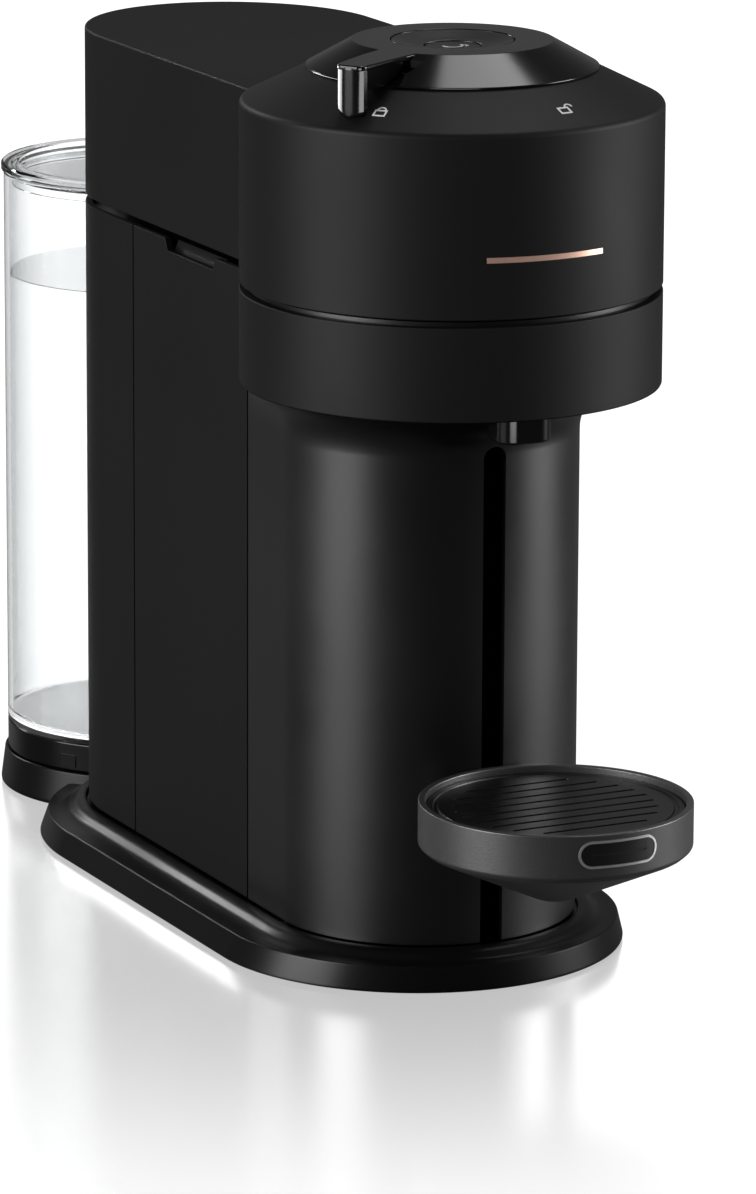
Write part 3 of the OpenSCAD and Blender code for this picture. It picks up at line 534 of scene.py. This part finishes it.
def make_tower():
    """Rear casing, hollowed behind for the tank."""
    edge = 0.45
    section = [(0, foot_z + 0.3), (0.3, foot_z), (wall, foot_z), (wall, tower_high.z - 0.3),
               (wall - 0.3, tower_high.z), (edge + 0.1, tower_high.z),
               (edge * 0.35, tower_high.z - edge * 0.3),
               (0, tower_high.z - edge)]
    tower = strip("tower_skin", tower_path()[::-1], section)
    bevel(tower, 0.35, 2, 60)
    done(tower, "matte_black", "chassis", ["tower_shell"])


make_tower()


def make_bin():
    """Side panel with a finger notch and the bin behind it."""
    z0 = bin_low.z
    z1 = bin_high.z
    notch = z1 - 4.1
    front, rear = bin_low.y, bin_high.y
    outline = [(front, z0), (rear, z0), (rear, z1), (24.6, z1), (22.6, notch), (-14.6, notch),
               (-16.9, z1), (front, z1)]
    outline = fillet(outline, [0.5, 0.5, 0.5, 1.2, 2.2, 1.4, 0.7, 0.5], 5)
    outline = [(y + 0.45 if y < front + 3 else y, z) for y, z in outline]
    side = sideways("bin_skin", outline, -body_r, -body_r + wall)
    bevel(side, 0.3, 3, 60)
    body_low = (-body_r + wall - 0.1, front + 2, 15)
    body_high = (34, rear - 2, 222)
    corners = [(body_low[0], body_low[1]), (body_high[0], body_low[1]), (body_high[0], body_high[1]),
               (body_low[0], body_high[1])]
    outer = prism("bin_box", fillet(corners, [0, 6, 6, 0], 8), body_low[2], body_high[2], 2.0, 0.6)
    inner = prism("bin_hollow", fillet(inset(corners, 2.1), [4, 4, 4, 4], 8), body_low[2] + 2.2, 240, 1.5)
    cut(outer, inner)
    add(side, outer)
    scoop_outline = [(-body_r + 1.2, notch - 0.9), (-body_r + wall, notch - 3), (-46.9, notch - 3),
                     (-46.9, z1 - 0.8), (-47.5, z1 - 0.8), (-48.6, notch + 0.6)]
    scoop_outline = fillet(scoop_outline, [0, 0, 0, 0.2, 0.2, 2.2], 6)
    scoop = sideways("scoop", scoop_outline, -16.0, 23.4, "y")
    add(side, scoop)
    done(side, "matte_black", "bin", ["capsule_bin"])


make_bin()


def make_column():
    """Front column, flaring out to the head at its top."""
    out_r = head_r - 0.2
    end_a = 180 - math.degrees(math.asin(body_r / out_r))
    cove_low, cove_high = 180.0, band_low.z
    levels = [(foot_z, 0), (100, 0), (170, 0)]
    for k in range(25):
        t = math.radians(90 * k / 24)
        levels.append((cove_low + (cove_high - cove_low) * math.sin(t), 1 - math.cos(t)))
    steps = 144
    rings = []
    for z, share in levels:
        ring = [(-body_r, seam_front - seam_trim, z)]
        for i in range(steps + 1):
            a = -end_a + 2 * end_a * i / steps
            reach = column_reach(a) * (1 - share) + out_r * share
            ring.append(around(reach, a, z, head_y))
        ring.append((body_r, seam_front - seam_trim, z))
        rings.append(ring)
    column = skin("column_skin", rings)
    inside = arc(0, column_y, body_r - wall, body_r - wall, 180, 360, 64)
    inside = [(-body_r + wall, seam_front + 1)] + inside + [(body_r - wall, seam_front + 1)]
    hollow = prism("hollow", inside, foot_z - 1, band_low.z + 1)
    slot_outline = [(-slot_half, foot_z - 1), (slot_half, foot_z - 1)]
    slot_outline += arc(0, slot_top, slot_half, slot_half, 0, 180, 24)
    slot = sideways("slot", slot_outline, column_y - body_r - 3, column_y - body_r + 5, "y")
    spout_room = box("spout_room", (spout_low.x - 0.4, spout_low.y - 0.4, 172),
                     (spout_high.x + 0.4, spout_high.y + 0.4, 230))
    cut(column, hollow, slot, spout_room)
    bevel(column, 0.3, 2, 50)
    done(column, "satin_black", "chassis", ["column_shell"], angle=24)


make_column()


def make_band():
    """Lower ring of the head."""
    end_a = math.degrees(math.acos((head_y - seam_front) / head_r))
    section = fillet([(head_r, band_low.z), (head_r, band_high.z), (head_r - 2.6, band_high.z),
                      (head_r - 2.6, band_low.z)], [0.5, 0.4, 0.3, 0.2], 4)
    band = lathe("band_skin", section, head_y, -end_a, end_a, steps=168)
    bevel(band, 0.25, 2, 60)
    done(band, "matte_black", "chassis", ["head_band"])


make_band()


def make_spout():
    """Coffee outlet with two bores."""
    low, high = spout_low, spout_high
    outline = fillet([(low.x, low.y), (high.x, low.y), (high.x, high.y), (low.x, high.y)], [6, 6, 2, 2], 10)
    spout = prism("spout_skin", outline, low.z, high.z, 0.9, 0.4, 5)
    for x in (-4, 4):
        bore = prism("bore", arc(x, (low.y + high.y) / 2, 2.4, 2.4, 0, 345, 23), low.z - 2, high.z + 2)
        cut(spout, bore)
    done(spout, "gloss_black", "chassis", ["coffee_spout"])


make_spout()


# ---------------------------------------------------------------- head

def make_cap():
    """Round cover of the head with a sloping shoulder."""
    top = cap_high.z
    hole_r = 44.5
    outline = [(head_r, cap_low.z), (head_r, shoulder_z), (hole_r, top), (hole_r, top - 2.6),
               (head_r - 2.6, shoulder_z - 1.4), (head_r - 2.6, cap_low.z)]
    cap = lathe("cap_skin", fillet(outline, [0.5, 2.4, 0.4, 0.3, 1.0, 0.3], 6), head_y)
    room = box("room", (-body_r + wall + 0.3, head_y + 40, cap_low.z - 1),
               (body_r - wall - 0.3, head_y + 100, 288.3))
    cut(cap, room)
    done(cap, "matte_black", "head", ["head_cap"], angle=24)


make_cap()


def make_cover():
    """Cover of the rear of the head."""
    z0, z1 = cover_low.z, cover_high.z
    join_y = head_y + 40
    outer = [(-body_r, join_y), (body_r, join_y)] + arc(0, rear_y, body_r, rear_depth, 0, 180, 96)
    cover = prism("cover_skin", outer, z0, z1, 0.4, 1.1, 5)
    inside = [(-body_r + wall, join_y - 12), (body_r - wall, join_y - 12)]
    inside += arc(0, rear_y, body_r - wall, rear_depth - wall, 0, 180, 96)
    hollow = prism("hollow", inside, z0 - 1, z1 - wall, 0, 1.5)
    room_r = head_r + 0.05
    head_room = lathe("head_room", [(0, z0 - 2), (room_r, z0 - 2), (room_r, z1 + 2), (0, z1 + 2)], head_y)
    notch_outline = fillet([(-38, z0 - 5), (38, z0 - 5), (38, 253), (-38, 253)], [0, 0, 3, 3], 6)
    notch = sideways("notch", notch_outline, 100, 150, "y")
    cut(cover, hollow, head_room, notch)
    done(cover, "matte_black", "head", ["rear_cover"], angle=24)


make_cover()


def make_bezel():
    """Dished ring round the button, and the button."""
    outline = [(button_r + 0.4, 305.5), (12.9, 305.5), (12.9, 308), (bezel_r, 308), (bezel_r, 313.9),
               (bezel_r - 1.2, 313.75), (13, 312.3), (button_r + 0.4, 311.95)]
    outline = fillet(outline, [0.1, 0.1, 0.1, 0.1, 0.45, 2.0, 3.0, 0.35], 5)
    bezel = lathe("bezel_skin", outline, head_y, steps=144)
    done(bezel, "satin_black", "head", ["button_bezel"])
    top = button_high.z
    outline = [(0, 302.8), (12.4, 302.8), (12.4, 304.1), (button_r, 304.1), (button_r, top), (0, top - 0.25)]
    button = lathe("button_skin", fillet(outline, [0, 0.2, 0.2, 0.2, 0.5, 0], 5), head_y, steps=144)
    done(button, "satin_black", "button", ["brew_button"])


make_bezel()


def on_lever(u, v):
    """Row-frame x and y from a place along (u) and to the right of (v) the lever's arm."""
    a = math.radians(lever_angle)
    return (u * math.sin(a) + v * math.cos(a), head_y - u * math.cos(a) + v * math.sin(a))


def lever_prism(name, outline, low, high, round_low=0.0, round_high=0.0):
    """Upright prism of an outline given along and across the arm."""
    points = [on_lever(u, v) for u, v in outline]
    area = sum(a[0] * b[1] - b[0] * a[1] for a, b in zip(points, points[1:] + points[:1]))
    if area < 0:
        points.reverse()
    return prism(name, points, low, high, round_low, round_high)


def lever_fin(name, outline, half):
    """Upright plate along the arm from an outline of (distance along the arm, height)."""
    rings = []
    for v in half:
        rings.append([(*on_lever(u, v), z) for u, z in outline])
    return skin(name, rings)


def make_lever():
    """Cone-shaped ring with its arm and grip."""
    reach = 65.6
    grip_half, grip_middle, grip_round = 5.2, 0.4, 1.9
    bend_r, bend_angle = 5.9, 42.0
    cone = [(ring_r, 304.95), (ring_r, 305.6), (ring_flat_r, top_z), (bezel_r + 0.3, top_z),
            (bezel_r + 0.3, top_z - 2.4), (33, top_z - 2.4), (36, 309.5), (36, 297.5), (39, 297.5),
            (39, 307.2),
            (44, 307.2)]
    ring = lathe("lever_skin", fillet(cone, [0.3, 0.35, 0.9, 0.4, 0, 0, 0, 0.3, 0.3, 0, 0], 6), head_y)
    gap = lever_prism("gap", [(39.3, 7.7), (52, 4.0), (52, -4.0), (39.3, -7.7)], 300, top_z - 1.6)
    flare = []
    for z, open_by in ((304.5, 0.0), (top_z - 1.6, 2.6)):
        corners = [(35.5, -6), (52, -4), (52, 4.0 + open_by * 0.5), (35.5, 8.75 + open_by)]
        flare.append([(*on_lever(u, v), max(z, 309.7) if u < 39 else z) for u, v in corners])
    cut(ring, gap, skin("flare", flare))
    plate_outline = [(30, 6.4), (38, 5.7), (52, 5.6), (reach - 0.6, 5.6), (reach - 0.6, -4.8), (54, -6.6),
                     (43.6, -8.0), (30, -9.0)]
    plate_outline = fillet(plate_outline, [0, 3, 3, 2.6, 2.6, 20, 20, 0], 6)
    plate = lever_prism("plate", plate_outline, top_z - 1.7, top_z - 0.01, 0.5, 0.55)
    turns = [math.radians(90 * k / 8) for k in range(9)]
    levels = [(lever_low.z + grip_round * (1 - math.cos(t)), grip_round * (1 - math.sin(t))) for t in turns]
    levels += [(top_z - 1.6, 0.0), (top_z - 0.8, 0.5)]
    bend = [math.radians(bend_angle * (k / 8 - 1)) for k in range(17)]
    rings = []
    for z, shrink in levels:
        half = grip_half - shrink
        face = [(reach - 3.6, grip_middle - half)]
        for t in bend:
            sideways_share = 0.94 * math.sin(t) / math.sin(bend[-1])
            face.append((reach - 0.5 - bend_r * (1 - math.cos(t)), grip_middle + half * sideways_share))
        face.append((reach - 3.6, grip_middle + half))
        rings.append([(*on_lever(u, v), z) for u, v in face])
    grip = skin("grip", rings)
    bevel(grip, 0.45, 3, 40)
    fin_outline = [(38, top_z - 1), (reach - 2.5, top_z - 1), (reach - 2.5, 305.9), (49.5, 305.2),
                   (38, 307.5)]
    fin_outline = fillet(fin_outline, [0, 0, 2.2, 0.5, 0], 5)
    fin = lever_fin("fin", fin_outline, (-4.0, 4.2))
    add(ring, plate, grip, fin)
    done(ring, "gloss_black", "lever", ["lever_ring"], angle=30)


make_lever()


# ---------------------------------------------------------------- tank

def make_tank():
    """Clear tank with its water, foot, lid and seat."""
    floor_z = 27.0
    low, high = tank_base_high.z, tank_high.z
    inner_r = tank_r - 1.8
    outline = [(0, low), (tank_r, low), (tank_r, high), (inner_r, high), (inner_r, floor_z), (0, floor_z)]
    tank = lathe("tank_skin", fillet(outline, [0, 0.8, 0.6, 0.6, 2.5, 0], 6), tank_y)
    done(tank, "clear_plastic", "tank", ["water_tank"])
    level = 192.0
    water_r = inner_r - 0.12
    outline = [(0, floor_z + 0.12), (water_r, floor_z + 0.12), (water_r, level), (0, level)]
    water = lathe("water", fillet(outline, [0, 2.4, 0.5, 0], 6), tank_y)
    done(water, "water", "tank", ())
    outline = [(0, level + 0.1), (water_r, level + 0.1), (water_r, level + 0.5), (0, level + 0.5)]
    film = lathe("water_film", fillet(outline, [0, 0.1, 0.1, 0], 3), tank_y)
    done(film, "water_film", "tank", ())
    disc_r = inner_r
    outline = [(0, floor_z - 1.2), (disc_r, floor_z - 1.2), (disc_r, floor_z - 0.4), (0, floor_z - 0.4)]
    disc = lathe("tank_floor", fillet(outline, [0, 0.2, 0.2, 0], 3), tank_y)
    done(disc, "tank_floor", "tank", ())
    low, high = tank_base_low.z, tank_base_high.z - 0.05
    outline = [(0, high), (0, 22.4), (tank_r - 3, 22.4), (tank_r - 3, low), (tank_r, low), (tank_r, high)]
    base = lathe("tank_base_skin", fillet(outline, [0, 0, 1, 0.4, 0.6, 0.7], 5), tank_y)
    for side in (-1, 1):
        catch = prism("catch", fillet([(-3.4, 0), (3.4, 0), (3.4, 1.6), (-3.4, 1.6)], 0.3, 3), 15.2, 19.8)
        turn = Matrix.Rotation(math.radians(side * catch_angle), 4, "Z")
        to_wall = Matrix.Translation(Vector((0, -tank_r - 0.25, 0)) * MM)
        to_tank = Matrix.Translation(Vector((0, tank_y, 0)) * MM)
        catch.data.transform(to_tank @ turn @ to_wall)
        add(base, catch)
    done(base, "gloss_black", "tank", ["tank_base"])
    outline = [(0, lid_high.z - 3.5), (43, lid_high.z - 3.5), (43.6, lid_high.z - 3.0), (43.6, lid_high.z - 0.4),
               (44.4, lid_high.z), (49.4, lid_high.z), (50.2, lid_high.z - 0.7), (50.2, lid_high.z - 2.7),
               (49.8, lid_high.z - 3.1), (46.4, lid_high.z - 3.1), (46.4, lid_low.z), (44.8, lid_low.z),
               (44.8, lid_high.z - 5.3), (0, lid_high.z - 5.3)]
    lid = lathe("lid_skin", fillet(outline, 0.35, 4), tank_y)
    done(lid, "clear_plastic", "tank", ["tank_lid"])
    low, high = seat_low.z, seat_high.z
    outline = [(0, high), (0, high - 1.2), (seat_r - 3.5, high - 1.2), (seat_r - 3, low), (seat_r, low),
               (seat_r, low + 1.5), (seat_r - 1.5, high)]
    seat = lathe("seat_skin", fillet(outline, [0, 0, 1, 0.3, 0.6, 2, 0.8], 5), tank_y)
    done(seat, "base_black", "chassis", ["tank_seat"])


make_tank()


# ---------------------------------------------------------------- cup support

def make_tray():
    """Cup support with its arm and slotted grid."""
    low, rim = tray_low.z, tray_high.z
    outline = [(0, low), (7, low + 0.2), (43.4, 58.0), (tray_r, 59.6), (tray_r, rim), (tray_r - 2.4, rim),
               (tray_r - 2.4, grid_low.z - 0.4), (tray_r - 5, grid_low.z - 0.4), (tray_r - 6, 62), (30, 56), (0, 52)]
    tray = lathe("tray_skin", fillet(outline, [0, 3, 1.0, 1.6, 0.5, 0.5, 0.3, 0.3, 2, 4, 0], 6), tray_y)
    front = column_y - body_r
    arm = box("arm", (-slot_half + 0.5, tray_y + 36, 56), (slot_half - 0.5, front + 8.2, 68))
    hook_y = span("support_rail")[0].y + 3.35
    hook = box("hook", (-5.6, hook_y, 50), (5.6, hook_y + 3.2, 72))
    inside = lathe("inside", [(0, 63.5), (tray_r - 5.5, 63.5), (tray_r - 5.2, 80), (0, 80)], tray_y)
    add(arm, hook)
    cut(arm, inside)
    bevel(arm, 0.3, 2, 40)
    add(tray, arm)
    done(tray, "tray_grey", "support", ["cup_support"])
    z0, z1 = grid_low.z, grid_high.z
    disc_r = tray_r - 2.8
    outline = fillet([(0, z0), (disc_r, z0), (disc_r, z1), (disc_r - 2.0, z1), (disc_r - 2.3, z1 - 0.5),
                      (disc_r - 3.4, z1 - 0.5), (disc_r - 3.7, z1), (0, z1)], [0, 0.3, 0.4, 0.2, 0.2, 0.2, 0.2, 0], 3)
    disc = lathe("grid_skin", outline, tray_y)
    for i in range(-4, 5):
        y = tray_y + 7 * i
        half = math.sqrt(34 ** 2 - (7 * i) ** 2)
        ends = arc(half - 0.8, y, 0.8, 0.8, -90, 90, 8) + arc(-half + 0.8, y, 0.8, 0.8, 90, 270, 8)
        cut(disc, prism("slit", ends, z0 - 1, z1 + 1))
    bevel(disc, 0.25, 2, 50)
    done(disc, "satin_black", "grid", ["drip_grid"])


make_tray()


def on_tray(distance, z, radius):
    """Point on the cup support's side, at a distance around it to the right of the front."""
    return around(radius, math.degrees(distance / tray_r), z, tray_y)


def make_badge():
    """Plain oval plate: a bright rim around a dark field, no lettering."""
    z = 67.6
    half_w, half_h = 14.5, 4.7

    def oval(grow):
        """Outline of the plate, grown by a distance."""
        w = half_w - half_h
        r = half_h + grow
        line = [w - 2 * w * k / 12 for k in range(1, 12)]
        above = [(x, r) for x in line]
        below = [(-x, -r) for x in line]
        return arc(w, 0, r, r, -90, 90, 20) + above + arc(-w, 0, r, r, 90, 270, 20) + below

    rim = []
    for grow, lift in ((0, -0.3), (-0.15, 0.3), (-0.9, 0.3), (-1.05, -0.3)):
        rim.append([on_tray(a, z + b, tray_r + lift) for a, b in oval(grow)])
    ring = skin("badge_rim", rim, loop=True)
    done(ring, "badge_metal", "support", ["support_badge"])
    rows = []
    field_levels = [(-1.0, -0.3), (-1.0, 0.08)] + [(grow, 0.1) for grow in (-1.2, -2.2, -3.2, -4.2, -4.62)]
    for grow, lift in field_levels:
        rows.append([on_tray(a, z + b, tray_r + lift) for a, b in oval(grow)])
    field = skin("badge_field", rows)
    done(field, "satin_black", "support", ())


make_badge()


# ---------------------------------------------------------------- CAD nodes that stay

KEPT_LOOK = {"drive_belt": "rubber", "button_mark": "mark_white", "lock_marks": "mark_white",
             "hot_water_pipe": "steel"}
slots = {part["node"]: part["material_slot"] for part in frame["record"]["subparts"]}
for name, obj in frame["nodes"].items():
    if obj.hide_render:
        continue
    obj.data.materials.clear()
    obj.data.materials.append(materials[KEPT_LOOK.get(name, slots[name])])
    smooth(obj, 30, weighted=False)


# ---------------------------------------------------------------- floor, light and camera

def floor_material():
    """White glowing floor, glossy round the object and fading to plain white further out; the glow is lowered round
    the object, which paints shade there beside the object's real reflection.
    """
    glossy_to, plain_from = 0.12, 0.42
    material = bpy.data.materials.new("floor_white")
    material.use_nodes = True
    tree = material.node_tree
    tree.nodes.clear()
    out = node(tree, "ShaderNodeOutputMaterial", (600, 0))
    shader = node(tree, "ShaderNodeBsdfPrincipled", (300, 0), Metallic=1.0, Roughness=0.2)
    shader.inputs["Emission Color"].default_value = (1, 1, 1, 1)
    place = node(tree, "ShaderNodeTexCoord", (-700, 0))
    reach = node(tree, "ShaderNodeVectorMath", (-500, 0), operation="DISTANCE")
    reach.inputs[1].default_value = (0, 0, 0)
    shine = node(tree, "ShaderNodeMapRange", (-250, 150), interpolation_type="SMOOTHSTEP")
    glow_with_painted_shade = node(tree, "ShaderNodeMapRange", (-250, -150), interpolation_type="SMOOTHSTEP")
    # The glow rises from 0.52 round the object to 1 further out: painted shade near the object. The mirror part shows
    # the object's real reflection.
    for fade, near, far in ((shine, 0.97, 0.0), (glow_with_painted_shade, 0.52, 1.0)):
        fade.inputs["From Min"].default_value = glossy_to
        fade.inputs["From Max"].default_value = plain_from
        fade.inputs["To Min"].default_value = near
        fade.inputs["To Max"].default_value = far
        tree.links.new(reach.outputs["Value"], fade.inputs["Value"])
    tree.links.new(place.outputs["Object"], reach.inputs[0])
    tree.links.new(shine.outputs["Result"], shader.inputs["Base Color"])
    tree.links.new(glow_with_painted_shade.outputs["Result"], shader.inputs["Emission Strength"])
    tree.links.new(shader.outputs["BSDF"], out.inputs["Surface"])
    return material


def make_stage():
    """Pale glossy floor for the camera and, just under it, a darker one that lights the object."""
    side = 9000
    corners = [(-side, -side, 0), (side, -side, 0), (side, side, 0), (-side, side, 0)]
    floor = mesh_object("floor", corners, [(0, 1, 2, 3)])
    floor.data.materials.append(floor_material())
    floor.visible_diffuse = False
    floor.visible_glossy = False
    floor.visible_shadow = False
    under = mesh_object("floor_under", [(x, y, -0.5) for x, y, _ in corners], [(0, 1, 2, 3)])
    under.data.materials.append(finish_material("floor_bounce", grey(0.05), 0.6, bump=0.0, tint=0.0))
    under.visible_camera = False
    under.visible_transmission = False
    return floor


floor = make_stage()


AIM = (0, 0, 0.16)               # metres; where the lights point


def panel(name, place, size, power):
    """Rectangular soft light at a place in metres, facing the middle of the object."""
    lamp = bpy.data.lights.new(name, "AREA")
    lamp.shape = "RECTANGLE"
    lamp.size, lamp.size_y = size
    lamp.energy = power
    obj = bpy.data.objects.new(name, lamp)
    bpy.context.scene.collection.objects.link(obj)
    obj.location = place
    obj.rotation_euler = (Vector(AIM) - Vector(place)).to_track_quat("-Z", "Y").to_euler()
    obj.visible_camera = False
    return obj


def around_object(angle, distance, height):
    """Place at an angle from straight ahead, positive to the right."""
    a = math.radians(angle)
    return (distance * math.sin(a), -distance * math.cos(a), height)


def light_only(lamp, name, objects):
    """Lets a lamp light only the objects given."""
    group = bpy.data.collections.new(name)
    for obj in objects:
        group.objects.link(obj)
    lamp.light_linking.receiver_collection = group


def make_lights():
    """Soft boxes round the object, a ring that only the floor mirrors, and glints for the glossy pieces."""
    panel("top_soft", (0.84, 0.55, 2.6), (1.1, 1.1), 40)
    panel("back_soft", around_object(-165, 2.4, 1.2), (0.6, 0.25), 16)
    panel("left_soft", around_object(-87, 2.2, 0.6), (1.4, 1.2), 130)
    panel("right_soft", around_object(66, 2.2, 0.6), (1.0, 1.2), 98)
    for k in range(6):
        lamp = panel(f"floor_light_{k}", around_object(153.8 + 60 * k, 6.0, 1.6), (7.0, 6.0), 60)
        light_only(lamp, f"lit_floor_{k}", [floor])
    glossy = [bpy.data.objects[name] for name in ("lever_skin", "spout_skin")]
    covers = [bpy.data.objects[name] for name in ("cap_skin", "band_skin")]
    light_only(panel("head_fill", around_object(-14, 2.4, 0.6), (1.4, 1.2), 12), "lit_head", covers)
    light_only(panel("glint_left", around_object(-142, 1.0, 0.08), (0.8, 0.3), 17), "lit_left", glossy)
    light_only(panel("glint_right", around_object(-22, 1.0, 0.08), (0.6, 0.3), 15), "lit_right", glossy)


def make_world():
    """Even, dim white surroundings."""
    world = bpy.data.worlds.new("studio")
    world.use_nodes = True
    background = world.node_tree.nodes["Background"]
    background.inputs["Color"].default_value = (1, 1, 1, 1)
    background.inputs["Strength"].default_value = 0.16
    bpy.context.scene.world = world
    bpy.context.scene.view_settings.view_transform = "Standard"


make_lights()
make_world()


def make_camera():
    """Camera at the height and angle from which the object is shown."""
    azimuth, pitch, roll = math.radians(26.159), math.radians(13.765), math.radians(0.253)
    place = Vector((-1016.2, -2105.3, 677.5)) * MM
    picture_height = 1194
    focal_in_picture = 6924.15
    level_run = math.cos(pitch)
    forward = Vector((math.sin(azimuth) * level_run, math.cos(azimuth) * level_run, -math.sin(pitch)))
    level = Vector((math.cos(azimuth), -math.sin(azimuth), 0))
    up = level.cross(forward)
    right = level * math.cos(roll) + up * math.sin(roll)
    up = up * math.cos(roll) - level * math.sin(roll)
    data = bpy.data.cameras.new("camera")
    data.sensor_width = 36
    data.lens = focal_in_picture * data.sensor_width / picture_height
    data.clip_start, data.clip_end = 0.05, 50
    camera = bpy.data.objects.new("camera", data)
    bpy.context.scene.collection.objects.link(camera)
    turn = Matrix((right, up, -forward)).transposed().to_4x4()
    camera.matrix_world = Matrix.Translation(place) @ turn
    bpy.context.scene.camera = camera


make_camera()

bpy.context.view_layer.update()
